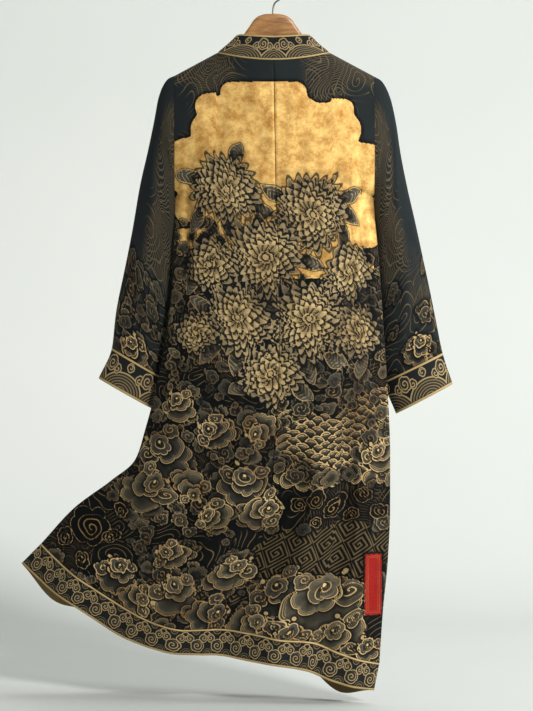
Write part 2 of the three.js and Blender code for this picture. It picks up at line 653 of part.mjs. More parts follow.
function hangerHook() {
  const circle = new THREE.Shape();
  for (let i = 0; i < HOOK_SIDES; i += 1) {
    const angle = (2 * Math.PI * i) / HOOK_SIDES;
    const x = WIRE_RADIUS * Math.cos(angle);
    const y = WIRE_RADIUS * Math.sin(angle);
    if (i === 0) {
      circle.moveTo(x, y);
    } else {
      circle.lineTo(x, y);
    }
  }
  circle.closePath();
  const path = new HookPath();
  return new THREE.ExtrudeGeometry(circle, { steps: HOOK_STEPS, extrudePath: path });
}

const BODY_CLOTH = { color: 0x1c2122, roughness: 0.72, metalness: 0 };
const BORDER_CLOTH = { color: 0x2a2c28, roughness: 0.68, metalness: 0 };
const BEECH = { color: 0xb9753a, roughness: 0.45, metalness: 0 };
const STEEL = { color: 0x6d6a66, roughness: 0.35, metalness: 0.9 };

const robe = new THREE.Group();

function add(name, geometry, finish) {
  const mesh = new THREE.Mesh(geometry, new THREE.MeshStandardMaterial(finish));
  mesh.name = name;
  robe.add(mesh);
}

add('back_left', backHalf(-1, DOWN), BODY_CLOTH);
add('back_right', backHalf(1, DOWN), BODY_CLOTH);
add('front_left', frontPanel(-1, DOWN), BODY_CLOTH);
add('front_right', frontPanel(1, DOWN), BODY_CLOTH);
add('sleeve_left', sleeve(LEFT_SLEEVE, -1), BODY_CLOTH);
add('sleeve_right', sleeve(RIGHT_SLEEVE, 1), BODY_CLOTH);
add('cuff_left', cuff(LEFT_SLEEVE), BORDER_CLOTH);
add('cuff_right', cuff(RIGHT_SLEEVE), BORDER_CLOTH);
add('hem_back', hemBack(), BORDER_CLOTH);
add('hem_front_left', frontPanel(-1, HEM_DOWN), BORDER_CLOTH);
add('hem_front_right', frontPanel(1, HEM_DOWN), BORDER_CLOTH);
add('collar', collar(), BORDER_CLOTH);
add('hanger_bar', hangerBar(), BEECH);
add('hanger_hook', hangerHook(), STEEL);

export default robe;
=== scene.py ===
"""A long kimono robe on a wooden hanger: cloth shells, printed patterns, hanger, camera and light.

Lengths are millimetres until a mesh is made, and metres after that. The back faces -Y, +Z is up
and -X is the wearer's left, where the skirt is swept. The origin is where the hook hangs.
"""
import math

import bpy
import numpy as np
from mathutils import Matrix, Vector


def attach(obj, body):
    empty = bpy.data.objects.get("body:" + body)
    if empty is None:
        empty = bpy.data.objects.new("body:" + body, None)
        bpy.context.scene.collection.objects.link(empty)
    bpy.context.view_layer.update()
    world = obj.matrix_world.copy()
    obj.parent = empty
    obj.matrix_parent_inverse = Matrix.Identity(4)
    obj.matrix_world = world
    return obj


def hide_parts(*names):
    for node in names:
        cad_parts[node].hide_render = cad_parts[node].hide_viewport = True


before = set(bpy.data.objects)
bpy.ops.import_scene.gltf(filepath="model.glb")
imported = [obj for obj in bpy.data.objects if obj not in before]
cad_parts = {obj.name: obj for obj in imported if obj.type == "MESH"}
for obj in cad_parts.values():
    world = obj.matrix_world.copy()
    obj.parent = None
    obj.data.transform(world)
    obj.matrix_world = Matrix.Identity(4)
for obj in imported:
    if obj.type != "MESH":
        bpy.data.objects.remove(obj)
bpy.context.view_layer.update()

METRES = 0.001
# Half the gap at a seam, and the walls of the printed, the border and the neckband cloth
GAP = 0.15
CLOTH = 1.2
BORDER = 1.6
NECKBAND = 2
# Each shoulder's share of the back's width, the armhole's and the hem border's of its length
NECK_SHARE = 0.21
UNDERARM = 0.2
HEM_SHARE = 0.05
# The ends of the shoulders and of the neck, in X and Z, and the neck's sag and depth
SHOULDER_LEFT = (-198, -187)
NECK_LEFT = (-114.5, -142)
NECK_RIGHT = (117, -142)
SHOULDER_RIGHT = (204, -188.5)
NECK_SAG = 18
NECK_DEPTH = 42
ARMHOLE_DEPTH = 26
BAND_WIDTH = 53
# The sweep of the hem border, and how fast the sweep dies away to the right and the folds to the
# side seams
HEM_SWEEP = 14
SWEEP_POWER = 1.5
SEAM_POWER = 16
# The groove of the centre seam: its depth, and its width as a share of the back
SEAM_DEPTH = 1.0
SEAM_WIDTH = 0.006
# The steps from which a normal is taken, and how near the top they may come
NORMAL_STEP = 0.004
NORMAL_TOP = 0.0005


def through(at, value):
    """A smooth line through a table's column. On each span it is v0 + t rise
    + t (1 - t) (a (1 - t) + b t). Its slopes are the harmonic mean of the neighbouring chords, and
    level at a turn."""
    chord = np.diff(value) / np.diff(at)
    before, after = chord[:-1], chord[1:]
    total = np.where(before + after == 0, 1, before + after)
    inner = np.where(before * after <= 0, 0, 2 * before * after / total)
    slope = np.concatenate([chord[:1], inner, chord[-1:]])

    def line(x):
        """The line's value at a place in the first column."""
        x = np.asarray(x, float)
        i = np.searchsorted(at[1:-1], x, side="left")
        span = at[i + 1] - at[i]
        t = (x - at[i]) / span
        rise = value[i + 1] - value[i]
        a = slope[i] * span - rise
        b = rise - slope[i + 1] * span
        return value[i] + t * rise + t * (1 - t) * (a * (1 - t) + b * t)

    return line


def table(names, rows):
    """One smooth line for each named column, over the first column."""
    columns = np.array(rows, float).T
    return {name: through(columns[0], c) for name, c in zip(names.split(), columns)}


# The side seams from the shoulder down: the share of the length, and each seam's X and Z
SIDES = table("share leftX leftZ rightX rightZ", [
    (0, -198, -187, 204, -188.5),
    (0.2, -198, -430, 204, -430),
    (0.31, -199, -556, 213, -564),
    (0.44, -211, -690, 222, -700),
    (0.555, -233, -808, 231, -840),
    (0.65, -256, -896, 235, -952),
    (0.735, -279, -962, 235, -1056),
    (0.82, -329, -1005, 231, -1156),
    (0.91, -407, -1063, 221, -1264),
    (1, -477, -1138, 214, -1369),
])
# How far the side seams, the back and the fronts stand off the middle plane, and how far the left
# side is swept forwards
DEPTHS = table("share side back front sweep", [
    (0, 0, 0, 0, 0),
    (0.004, -1, 10, 10, 0),
    (0.012, -3, 18, 17, 0),
    (0.03, -6, 27, 26, 0),
    (0.08, -6, 42, 37, 0),
    (0.2, 0, 58, 52, 0),
    (0.31, -25, 68, 60, 0),
    (0.44, -29, 74, 68, 0),
    (0.555, -29, 77, 74, 4),
    (0.65, -28, 78, 80, 16),
    (0.735, -26, 78, 85, 36),
    (0.82, -22, 77, 90, 66),
    (0.91, -18, 76, 94, 98),
    (1, -15, 74, 98, 124),
])
# The hem from left to right: the border's seam and its edge
HEM = table("across seamX seamZ edgeX edgeZ", [
    (0, -477, -1138, -519, -1180),
    (0.083, -424, -1182, -461, -1226),
    (0.18, -358, -1226, -387, -1273),
    (0.277, -288, -1267, -313, -1317),
    (0.358, -228, -1291, -244, -1341),
    (0.423, -176, -1301, -189, -1352),
    (0.5, -112, -1299, -120, -1353),
    (0.613, -37, -1307, -46, -1363),
    (0.698, 18, -1317, 9, -1371),
    (0.782, 74, -1322, 64, -1381),
    (0.871, 130, -1343, 118, -1403),
    (0.958, 185, -1362, 174, -1419),
    (1, 214, -1369, 203, -1424),
])
# Where each front ends across the robe, from the neck down
FRONT_EDGE = table("share left right", [
    (0, 0.21, 0.79),
    (0.05, 0.25, 0.75),
    (0.12, 0.295, 0.705),
    (0.22, 0.325, 0.675),
    (0.4, 0.338, 0.662),
    (1, 0.38, 0.62),
])
# Which way the neckband leans from its seam: inwards, forwards and up. The path is 0 at the middle
# of the neck, 1 at the shoulder and 2 at the hem.
LEAN = table("path inX inY leftZ rightZ", [
    (0, 0, 0.34, 0.94, 0.94),
    (0.7, 0.5, 0.22, 0.84, 0.84),
    (1, 0.76, 0.14, 0.64, 0.64),
    (1.04, 0.87, 0.2, 0.42, 0.42),
    (1.09, 0.95, 0.14, 0.26, 0.26),
    (1.2, 0.99, 0.06, 0.12, 0.12),
    (1.5, 1, 0.02, 0.02, -0.06),
    (2, 0.97, -0.08, -0.22, 0.1),
])
# The sleeves in rows from the armhole to the cuff's edge: their outer and inner fold, half their
# depth, and how far forwards their middle lies
SLEEVE_COLUMNS = "number outerX outerZ innerX innerZ half middle"
LEFT_SLEEVE = table(SLEEVE_COLUMNS, [
    (0, -198, -187, -198, -430, 26, 0),
    (1, -210.5, -192.5, -198.3, -437, 27, 2),
    (2, -222, -207, -197.4, -446, 28, 4),
    (3, -231, -231, -196.4, -460, 30, 7),
    (4, -240, -277, -196.5, -490, 32, 11),
    (5, -253.5, -339.5, -196.5, -534, 34, 15),
    (6, -268, -404, -197.5, -582, 35, 17),
    (7, -284, -495, -202, -640, 36, 19),
    (8, -300.5, -578, -208, -692, 36, 20),
    (9, -318, -666, -217, -742, 35, 21),
    (10, -326, -735, -227, -793, 34, 22),
    (11, -353, -797, -245, -858, 36, 22),
])
RIGHT_SLEEVE = table(SLEEVE_COLUMNS, [
    (0, 204, -188.5, 204, -430, 26, 0),
    (1, 218, -196.5, 204.5, -436, 27, 2),
    (2, 229, -212, 204, -445, 28, 4),
    (3, 237.5, -233, 203.8, -459, 30, 7),
    (4, 249, -283, 205, -486, 32, 11),
    (5, 258, -340.5, 206, -526, 34, 15),
    (6, 271, -408, 210.5, -574, 35, 17),
    (7, 291.5, -497, 214, -632, 36, 19),
    (8, 308, -573, 217.5, -690, 36, 20),
    (9, 326, -659, 221, -750, 35, 21),
    (10, 343.5, -745, 225, -803, 34, 22),
    (11, 364, -808, 249, -868.5, 36, 22),
])
# The sleeve's row at the cuff's seam and at its edge
CUFF_SEAM = 10
CUFF_EDGE = 11
# The hanger's tips, and how far in they are rounded. The wire: its radius, the radius of its bend,
# where that starts and ends, and the height of its foot.
BAR_TIP = 189
BAR_ROUNDING = 4
WIRE_RADIUS = 1.75
WIRE_BEND = 20
WIRE_TURN = (-math.pi / 3, 1.15 * math.pi)
WIRE_FOOT = -61.7
# The hanger's bar from its middle to a tip: top, bottom and half its thickness
BAR = table("x top bottom half", [
    (0, -62, -128, 8.5),
    (14, -62.6, -129, 8.5),
    (27, -66, -131, 8.5),
    (38, -74, -134, 8.5),
    (47, -87, -138, 8.5),
    (59, -104, -142, 8),
    (74, -124, -149, 8),
    (92, -137.8, -159, 7),
    (112, -146.8, -169, 6.5),
    (135, -158.2, -181, 6.5),
    (160, -171.7, -194, 6.5),
    (180, -182.6, -205, 6),
    (189, -188.8, -207, 4),
])

# Folds. Columns: across, lean, start, end, width, height. The first rows of each are the
# solids' own large folds, and the rest are the finer creases between them.
BACK_FOLDS = [
    (0.05, 0.02, 0.07, 0.6, 0.022, -7),
    (0.11, 0.01, 0.1, 0.42, 0.03, 4),
    (0.945, -0.02, 0.07, 0.62, 0.022, -7),
    (0.885, -0.01, 0.1, 0.45, 0.03, 4),
    (0.12, 0.1, 0.62, 1.2, 0.04, 13),
    (0.24, 0.08, 0.58, 1.2, 0.045, -13),
    (0.38, 0.06, 0.5, 1.2, 0.05, 12),
    (0.53, 0.03, 0.55, 1.2, 0.05, -12),
    (0.68, 0, 0.48, 1.2, 0.045, 13),
    (0.82, -0.02, 0.45, 1.2, 0.045, -12),
    (0.93, -0.02, 0.66, 1.2, 0.025, 8),
    (0.16, -0.05, 0.12, 0.5, 0.012, -2.2),
    (0.3, 0.1, 0.14, 0.42, 0.014, -1.6),
    (0.83, 0.05, 0.1, 0.46, 0.013, -2.4),
    (0.7, -0.12, 0.16, 0.4, 0.014, -1.6),
    (0.075, 0.06, 0.46, 0.74, 0.012, 2.4),
    (0.2, 0.2, 0.52, 0.86, 0.012, -2.6),
    (0.33, 0.14, 0.6, 0.95, 0.014, 2.2),
    (0.45, 0.02, 0.46, 0.78, 0.012, -2),
    (0.6, 0.06, 0.64, 1.1, 0.012, -2.6),
    (0.75, -0.04, 0.6, 1.15, 0.011, -2.8),
    (0.885, -0.08, 0.56, 1, 0.011, 2.6),
    (0.3, 0.05, 0.8, 1.2, 0.011, 3),
    (0.17, 0.16, 0.78, 1.2, 0.012, -3.2),
    (0.06, 0.1, 0.76, 1.2, 0.012, -2.6),
    (0.48, 0.05, 0.84, 1.2, 0.01, 2.4),
]
FRONT_FOLDS = [
    (0.1, 0.04, 0.4, 1.2, 0.035, 13),
    (0.2, 0.04, 0.5, 1.2, 0.035, -12),
    (0.3, 0.02, 0.35, 1.2, 0.035, 12),
    (0.7, 0, 0.35, 1.2, 0.035, 12),
    (0.8, -0.02, 0.5, 1.2, 0.035, -12),
    (0.9, -0.04, 0.4, 1.2, 0.035, 12),
    (0.08, 0.04, 0.1, 0.45, 0.014, -3),
    (0.92, -0.04, 0.12, 0.5, 0.014, -3),
    (0.17, 0.08, 0.25, 0.7, 0.012, 2.4),
    (0.85, -0.07, 0.22, 0.66, 0.012, 2.4),
    (0.25, 0.05, 0.55, 1.1, 0.011, 2.6),
    (0.75, -0.04, 0.6, 1.15, 0.011, -2.6),
]
FRONT_DROPS = [(0.09, 0.07, 30), (0.9, 0.07, 26)]
# Sleeve creases. Columns: turn (round the sleeve, 0 at its outer fold), twist, start, end (rows of
# its table), width, height.
SLEEVE_CREASES = [
    (-0.42, 0.5, 1.5, 5.5, 0.1, -3),
    (-0.3, -0.35, 3, 7.2, 0.07, 2.6),
    (-0.62, 0.3, 4.6, 8.6, 0.08, -3),
    (-0.2, 0.42, 5.6, 9.6, 0.06, -2.4),
    (-0.5, -0.4, 6.2, 10.4, 0.07, 2.4),
    (0.4, 0.4, 2, 6.4, 0.09, -3),
    (0.6, -0.3, 4.4, 9, 0.08, 2.8),
    (0.28, -0.4, 6, 10, 0.07, -2.4),
]


def smoothstep(low, high, x):
    """3 t^2 - 2 t^3 of the share t of the way from low to high, held between 0 and 1."""
    t = np.clip((x - low) / (high - low), 0, 1)
    return t * t * (3 - 2 * t)


def stacked(x, y, z):
    """Points from their three parts."""
    return np.stack(np.broadcast_arrays(x, y, z), -1)


def unit(vectors):
    """Vectors of length 1 in the same directions."""
    return vectors / np.maximum(np.linalg.norm(vectors, axis=-1, keepdims=True), 1e-9)


def turned(x, y, angle):
    """A place's part along a direction, and its part square to it."""
    cos, sin = math.cos(angle), math.sin(angle)
    return x * cos + y * sin, y * cos - x * sin


def top_line(u):
    """Straight shoulders from the sleeve seams to the neck, and a neck that sags as a parabola."""
    left = u / NECK_SHARE
    right = (1 - u) / NECK_SHARE
    mid = (u - NECK_SHARE) / (1 - 2 * NECK_SHARE)
    made = []
    for axis, sag in enumerate((0, NECK_SAG)):
        outer, inner = SHOULDER_LEFT[axis], NECK_LEFT[axis]
        place = inner + (NECK_RIGHT[axis] - inner) * mid - sag * 4 * mid * (1 - mid)
        place = np.where(u <= NECK_SHARE, outer + (inner - outer) * left, place)
        outer, inner = SHOULDER_RIGHT[axis], NECK_RIGHT[axis]
        made.append(np.where(u >= 1 - NECK_SHARE, outer + (inner - outer) * right, place))
    return made


def outline(u, v):
    """The Coons patch between the top line, the sides and the hem's seam: the two ruled surfaces
    less the bilinear one through the corners. Past the seam the hem border is ruled on."""
    w = np.minimum(v, 1)
    border = np.maximum(0, v - 1) / HEM_SHARE
    top = top_line(u)
    first, last = top_line(np.zeros(1)), top_line(np.ones(1))
    made = []
    for i, axis in enumerate("XZ"):
        seam = HEM["seam" + axis]
        ruled = (1 - w) * top[i] + w * seam(u)
        ruled = ruled + (1 - u) * SIDES["left" + axis](w) + u * SIDES["right" + axis](w)
        corners = (1 - w) * ((1 - u) * first[i] + u * last[i])
        corners = corners + w * ((1 - u) * seam(0) + u * seam(1))
        made.append(ruled - corners + border * (HEM["edge" + axis](u) - seam(u)))
    return made


def folds(rows, u, v):
    """Each fold is a bell across the cloth that rises over 40 % of its length and dies away over
    the last 30 %; all of them stop at the side seams."""
    total = 0
    for across, lean, start, end, width, height in rows:
        offset = (u - across - lean * (1 - v)) / width
        length = end - start
        along = smoothstep(start, start + 0.4 * length, v)
        along = along * (1 - smoothstep(end - 0.3 * length, end, v))
        total = total + height * np.exp(-offset * offset) * along
    return total * (1 - np.abs(2 * u - 1) ** SEAM_POWER)


def ripples(u, v):
    """The cloth's small unevenness: three crossing waves under half a millimetre high, which stop
    at the seams."""
    waves = np.sin(61 * u + 17 * v + 2 * np.sin(9 * v)) + np.sin(37 * u - 46 * v + 1.3)
    waves = waves + np.sin(23 * u + 88 * v + 3 * np.sin(7 * u))
    return 0.3 * waves * (1 - np.abs(2 * u - 1) ** SEAM_POWER) * smoothstep(0, 0.05, v)


def armhole(v):
    """Half the depth of the oval armhole at a share down from the shoulder."""
    c = 1 - 2 * v / UNDERARM
    return ARMHOLE_DEPTH * np.sqrt(np.maximum(0, 1 - c * c))


def swept(u, v):
    """How far forwards the sweep carries a point."""
    past = np.maximum(0, v - 1) / HEM_SHARE
    return (DEPTHS["sweep"](np.minimum(v, 1)) + HEM_SWEEP * past) * (1 - u) ** SWEEP_POWER


def side_depth(v):
    """How far the side seam lies behind the middle plane, below the armhole."""
    return np.where(v < UNDERARM, 0, DEPTHS["side"](np.minimum(v, 1)))


def back_point(u, v):
    """The back swells from its sides to its middle as 1 - t^4. The cube root of the sum of cubes
    joins that swell to the neck seam, which is half an ellipse."""
    u, v = np.broadcast_arrays(np.asarray(u, float), np.asarray(v, float))
    x, z = outline(u, v)
    rim = np.abs(2 * u - 1) ** 4
    swell = rim * (armhole(v) - side_depth(v)) + (1 - rim) * DEPTHS["back"](np.minimum(v, 1))
    t = (2 * u - 1) / (1 - 2 * NECK_SHARE)
    neck = NECK_DEPTH * np.sqrt(np.maximum(0, 1 - t * t))
    depth = np.cbrt(np.maximum(0, swell) ** 3 + neck ** 3)
    groove = SEAM_DEPTH * np.exp(-((u - 0.5) / SEAM_WIDTH) ** 2) * smoothstep(0, 0.02, v)
    y = groove - depth - folds(BACK_FOLDS, u, v) - ripples(u, v) + swept(u, v)
    return stacked(x, y, z)


def front_point(u, v):
    """The fronts swell forwards as 1 - t^2, and hang lower than the back in two places."""
    u, v = np.broadcast_arrays(np.asarray(u, float), np.asarray(v, float))
    x, z = outline(u, v)
    rim = (2 * u - 1) ** 2
    swell = rim * (armhole(v) + side_depth(v)) + (1 - rim) * DEPTHS["front"](np.minimum(v, 1))
    low = sum(drop * np.exp(-((u - across) / width) ** 2) for across, width, drop in FRONT_DROPS)
    low = low * smoothstep(0.6, 1, v) * (1 - np.abs(2 * u - 1) ** SEAM_POWER)
    y = swell + folds(FRONT_FOLDS, u, v) + ripples(u, v) + swept(u, v)
    return stacked(x, y, z - low)


def cloth_normal(point, facing, u, v):
    """The outward normal from steps to both sides of each place. On the side and shoulder seams it
    lies in the seam's plane, and along the armhole it has no part across it."""
    u, v = np.broadcast_arrays(np.asarray(u, float), np.asarray(v, float))
    step = NORMAL_STEP
    across = point(np.minimum(1, u + step), v) - point(np.maximum(0, u - step), v)
    lower, upper = np.minimum(1 + HEM_SHARE, v + step), np.maximum(NORMAL_TOP, v - step)
    down = point(u, lower) - point(u, upper)
    normal = np.cross(across, down) * facing
    side = ((u <= 0) | (u >= 1))[..., None]
    sleeved = (v < UNDERARM)[..., None]
    top = ((v <= 0) & ((u <= NECK_SHARE) | (u >= 1 - NECK_SHARE)))[..., None]
    way = u - 0.5
    seam = stacked(way * np.abs(down[..., 2]), 0 * u, way * down[..., 0])
    normal = np.where(side & sleeved, normal * np.array([0, 1, 1]), normal)
    normal = np.where(side & ~sleeved, seam, normal)
    shoulder = stacked(-across[..., 2], 0 * u, across[..., 0])
    normal = np.where(top, shoulder, normal)
    return unit(normal)


def walked(points, axis):
    """The distance along the grid's lines in one direction, from each line's first point."""
    steps = np.linalg.norm(np.diff(points, axis=axis), axis=-1)
    return np.concatenate([np.zeros_like(np.take(steps, [0], axis)), np.cumsum(steps, axis)], axis)


def linked(obj):
    """Puts a finished piece into the scene, on the one body."""
    bpy.context.scene.collection.objects.link(obj)
    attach(obj, "root")
    return obj


def grid_faces(grid):
    """The four corners of each face of a grid of points."""
    faces = np.stack([grid[:-1, :-1], grid[1:, :-1], grid[1:, 1:], grid[:-1, 1:]], -1)
    return faces.reshape(-1, 4)


def shell(name, points, normals, across, down, materials, fields=None,
          thickness=CLOTH, wrap=False):
    """A closed thin wall. The outer points are the grid, the inner points lie one thickness in
    along the normals, and rims close the open sides. The cloth UV is (across, down) in metres."""
    rows, columns = points.shape[:2]
    if wrap:
        columns -= 1
    count = rows * columns
    outer = points[:, :columns].reshape(-1, 3)
    inner = (points - thickness * normals)[:, :columns].reshape(-1, 3)
    co = np.concatenate([outer, inner]) * METRES
    index = np.arange(count).reshape(rows, columns)
    place = np.arange(rows * points.shape[1]).reshape(rows, -1)
    if wrap:
        index = np.concatenate([index, index[:, :1]], 1)

    face, spot = grid_faces(index), grid_faces(place)
    faces = [face, face[:, ::-1] + count]
    spots = [spot, spot[:, ::-1]]

    def rim(line, at):
        """A strip of faces between the outer and the inner points of one open side."""
        a, b = line[:-1], line[1:]
        faces.append(np.stack([a, b, b + count, a + count], -1))
        spots.append(np.stack([at[:-1], at[1:], at[1:], at[:-1]], -1))

    rim(index[0], place[0])
    rim(index[-1, ::-1], place[-1, ::-1])
    if not wrap:
        rim(index[::-1, 0], place[::-1, 0])
        rim(index[:, -1], place[:, -1])
    faces, spots = np.concatenate(faces), np.concatenate(spots)
    corner = co[face]
    facing = np.cross(corner[:, 1] - corner[:, 0], corner[:, 3] - corner[:, 0])
    if (facing * normals[:, :columns].reshape(-1, 3)[face[:, 0]]).sum() < 0:
        faces, spots = faces[:, ::-1], spots[:, ::-1]

    mesh = bpy.data.meshes.new(name)
    mesh.vertices.add(len(co))
    mesh.vertices.foreach_set("co", co.astype(np.float32).ravel())
    mesh.loops.add(faces.size)
    mesh.loops.foreach_set("vertex_index", faces.ravel().astype(np.int32))
    mesh.polygons.add(len(faces))
    mesh.polygons.foreach_set("loop_start", np.arange(0, faces.size, 4, dtype=np.int32))
    inside = np.zeros(len(faces), np.int32)
    inside[len(face):2 * len(face)] = len(materials) - 1
    for material in materials:
        mesh.materials.append(material)
    mesh.polygons.foreach_set("material_index", inside)
    mesh.update(calc_edges=True)
    uv = np.stack([across.ravel(), down.ravel()], -1)[spots.ravel()] * METRES
    mesh.uv_layers.new(name="cloth").data.foreach_set("uv", uv.astype(np.float32).ravel())
    for key, (kind, values) in (fields or {}).items():
        attribute = mesh.attributes.new(key, kind, "POINT")
        kept = values.reshape(rows, -1, values.shape[-1])[:, :columns].reshape(count, -1)
        both = np.concatenate([kept, kept]).astype(np.float32)
        attribute.data.foreach_set("color" if kind == "FLOAT_COLOR" else "vector", both.ravel())
    mesh.polygons.foreach_set("use_smooth", np.ones(len(faces), bool))
    mesh.validate()
    return linked(bpy.data.objects.new(name, mesh))


def tint(code, gilt=0.0):
    """A colour as linear red, green and blue from its six hexadecimal digits, with its gilding."""
    channels = np.array([int(code[i:i + 2], 16) / 255 for i in (0, 2, 4)])
    linear = np.where(channels <= 0.04045, channels / 12.92, ((channels + 0.055) / 1.055) ** 2.4)
    return np.array([*linear, gilt])


# The print's dyes
INK = tint("0a0e10")
SMOKE = tint("2b2c29")
ASH = tint("403f39")
CLAY = tint("5a5547")
SAND = tint("a58f65")
CREAM = tint("d3bb8a")
BRONZE = tint("7d5f2f")
GOLD = tint("e7b953", 1.0)
RED = tint("8c1a15")
# The darker and the lighter colour of each mottled finish
GROUND_TONES = ("161b1e", "262c2d")
GOLD_TONES = ("a87432", "f2ca7c")
OUTLINE_TONES = ("8f6d3c", "dbbb82")
BAND_TONES = ("0e1110", "1c2020")
THREAD_TONES = ("7c663f", "bfa87c")
BRAID_TONES = ("8c7346", "cfb47e")
WOOD_TONES = ("7a4c22", "c08c4c")
WIRE_TONES = ("6f6c67", "a3a09a")
FLOOR_TONES = ("c8ccc9", "d0d3d0")
# How far from an outline the print still knows it, how far round a motif its outline is laid, and
# the depth of a point with no motif near it
EDGE_REACH = 10.0
MARGIN = 12
NOWHERE = 99.0
# How far to both sides the skirt's waves are laid
SKIRT_REACH = 440
# The plain upright oblong: its middle in X and Z, and half its width and height
UPRIGHT = (200.5, -1209, 17.5, 62)


class Print:
    """What is printed at each point of a cloth, layer on layer: how deep the point lies in its own
    motif, how far it is from the outline of the motif above it, its dye, how strong the motif's
    rim and nested lines are, and the turn of its curls as a cosine and a sine. The cloth's places
    are bent in slow and quick waves first, so that no outline is a true circle."""

    def __init__(self, s, t, points):
        self.shape = s.shape
        self.points = points.reshape(-1, 3)
        self.flat_s, self.flat_t = s, t = s.ravel(), t.ravel()
        self.s = s + 4.5 * np.sin(t / 23 + 1.7 * np.sin(s / 41)) + 1.4 * np.sin(t / 8.3 + s / 13)
        self.t = t + 4 * np.sin(s / 21 + 1.3 * np.sin(t / 37)) + 1.3 * np.sin(s / 7.7 - t / 11)
        count = self.s.size
        self.depth = np.full(count, NOWHERE)
        self.cover = np.full(count, NOWHERE)
        self.rim = np.zeros(count)
        self.dye = np.tile(INK, (count, 1))
        # How bare the ground is, its share of key fret, and the strength of nested lines
        self.ground = np.tile([1.0, 0.0, 0.0], (count, 1))
        # The curls' cosine and sine, and their strength, which is below zero where they are dark
        self.curl = np.tile([-1.0, 0.0, 0.0], (count, 1))
        self.box = (self.s.min(), self.s.max(), self.t.min(), self.t.max())

    def near(self, x, y, reach):
        """The points within a square round a place, and their places from its middle."""
        low_s, high_s, low_t, high_t = self.box
        if x + reach < low_s or x - reach > high_s or y + reach < low_t or y - reach > high_t:
            return np.zeros(0, int), np.zeros(0), np.zeros(0)
        found = np.nonzero((abs(self.s - x) < reach) & (abs(self.t - y) < reach))[0]
        return found, self.s[found] - x, self.t[found] - y

    def lay(self, found, depth, dye, rim=1.0, nested=0.0, turn=None, strength=1.0):
        """Lays one motif over the rest, where depth, in millimetres inside its outline, is above
        zero. Points just outside remember how near the motif lies above them. The dye and the
        strength of the curls may vary from point to point."""
        over = depth > 0
        below = found[~over]
        self.cover[below] = np.minimum(self.cover[below], -depth[~over])
        here = found[over]
        self.depth[here] = depth[over]
        self.cover[here] = NOWHERE
        self.dye[here] = dye[over] if np.ndim(dye) > 1 else dye
        self.rim[here] = rim
        self.ground[here, 0] = 0
        self.ground[here, 2] = nested
        self.curl[here] = (-1, 0, 0)
        if turn is not None:
            self.curl[here, 0] = np.cos(turn[over])
            self.curl[here, 1] = np.sin(turn[over])
            self.curl[here, 2] = strength[over] if np.ndim(strength) else strength

    def plate(self, x, y, r, dye, scallops=5, angle=0.0, rim=0.6, nested=0.15, hand=0, flat=0.8):
        """A cloud's plate: a flattened disc with uneven round scallops, lighter along its rim. With
        a hand it has a spiral line that way round."""
        found, dx, dy = self.near(x, y, r + MARGIN)
        rho, theta = np.hypot(dx, dy / flat), np.arctan2(dy / flat, dx)
        way = theta + angle + 0.4 * np.sin(theta + 3 * angle)
        edge = r * (0.74 + 0.26 * np.sqrt(abs(np.cos(scallops * way / 2))))
        depth = (edge - rho) * (0.5 + 0.5 * flat)
        light = 0.95 - 0.62 * smoothstep(0, 0.6 * r, depth) - 0.25 * dy / r
        shaded = dye * light[:, None]
        if not hand:
            self.lay(found, depth, shaded, rim, nested)
            return
        cx, cy = dx - 0.12 * r * math.cos(angle), dy / flat - 0.12 * r * math.sin(angle)
        rho, theta = np.hypot(cx, cy), np.arctan2(cy, cx)
        pitch = min(max(8.0, 0.36 * r), 13.0)
        turn = 2 * np.pi * rho / pitch - hand * (theta + angle)
        self.lay(found, depth, shaded, rim, 0, turn, rim * smoothstep(0.64, 0.56, rho / r))

    def cloud(self, x, y, r, dye, angle=0.0, hand=1):
        """Plates in steps, each smaller and lighter, up to a head with a spiral and a ball. Small
        heads hang on at the sides."""
        way = np.array([math.cos(angle), math.sin(angle)])
        across = np.array([-way[1], way[0]]) * hand

        def spot(shift, side):
            """A place that many radii along the cloud and to its side."""
            return np.array([x, y]) + r * (shift * way + side * across)

        self.plate(*spot(-0.55, 0.5), 0.5 * r, dye * 0.6, 4, angle, 0.6, 0.3)
        self.plate(*spot(0, 0), r, dye * 0.8, 5, angle, 0.9, 0.55)
        self.plate(*spot(0.3, -0.66), 0.42 * r, dye * 0.9, 4, angle, 0.9, 0, -hand)
        self.plate(*spot(0.26, 0.14), 0.68 * r, dye, 5, angle + 1, 0.95, 0.5)
        self.plate(*spot(0.62, 0.56), 0.28 * r + 2, dye * 1.2, 4, angle, 1.0, 0, hand)
        self.plate(*spot(0.42, -0.04), 0.42 * r, dye * 1.3, 5, angle + 2, 1.0, 0, hand, 0.9)
        self.knob(*spot(0.47, -0.02), 0.04 * r + 1.2)
        self.knob(*spot(0.86, -0.36), 0.06 * r + 1.6, SAND)

    def knob(self, x, y, r, dye=CREAM):
        """The small bright ball at the end of a curl."""
        found, dx, dy = self.near(x, y, r + MARGIN)
        self.lay(found, r - np.hypot(dx, dy), dye, 0.3)

    def petal(self, x, y, long, wide, angle, dye):
        """An ellipse that points away at an angle, darker at its foot, with veins along it."""
        found, dx, dy = self.near(x, y, long + MARGIN)
        a, b = turned(dx, dy, angle)
        depth = (1 - np.sqrt((a / long) ** 2 + (b / wide) ** 2)) * wide
        light = 0.22 + 1.2 * smoothstep(-1, 1, a / long) ** 1.5
        veins = 2 * np.pi * (b / 8.5 + 0.5)
        self.lay(found, depth, dye * light[:, None], 0.35, 0, veins, -0.5)

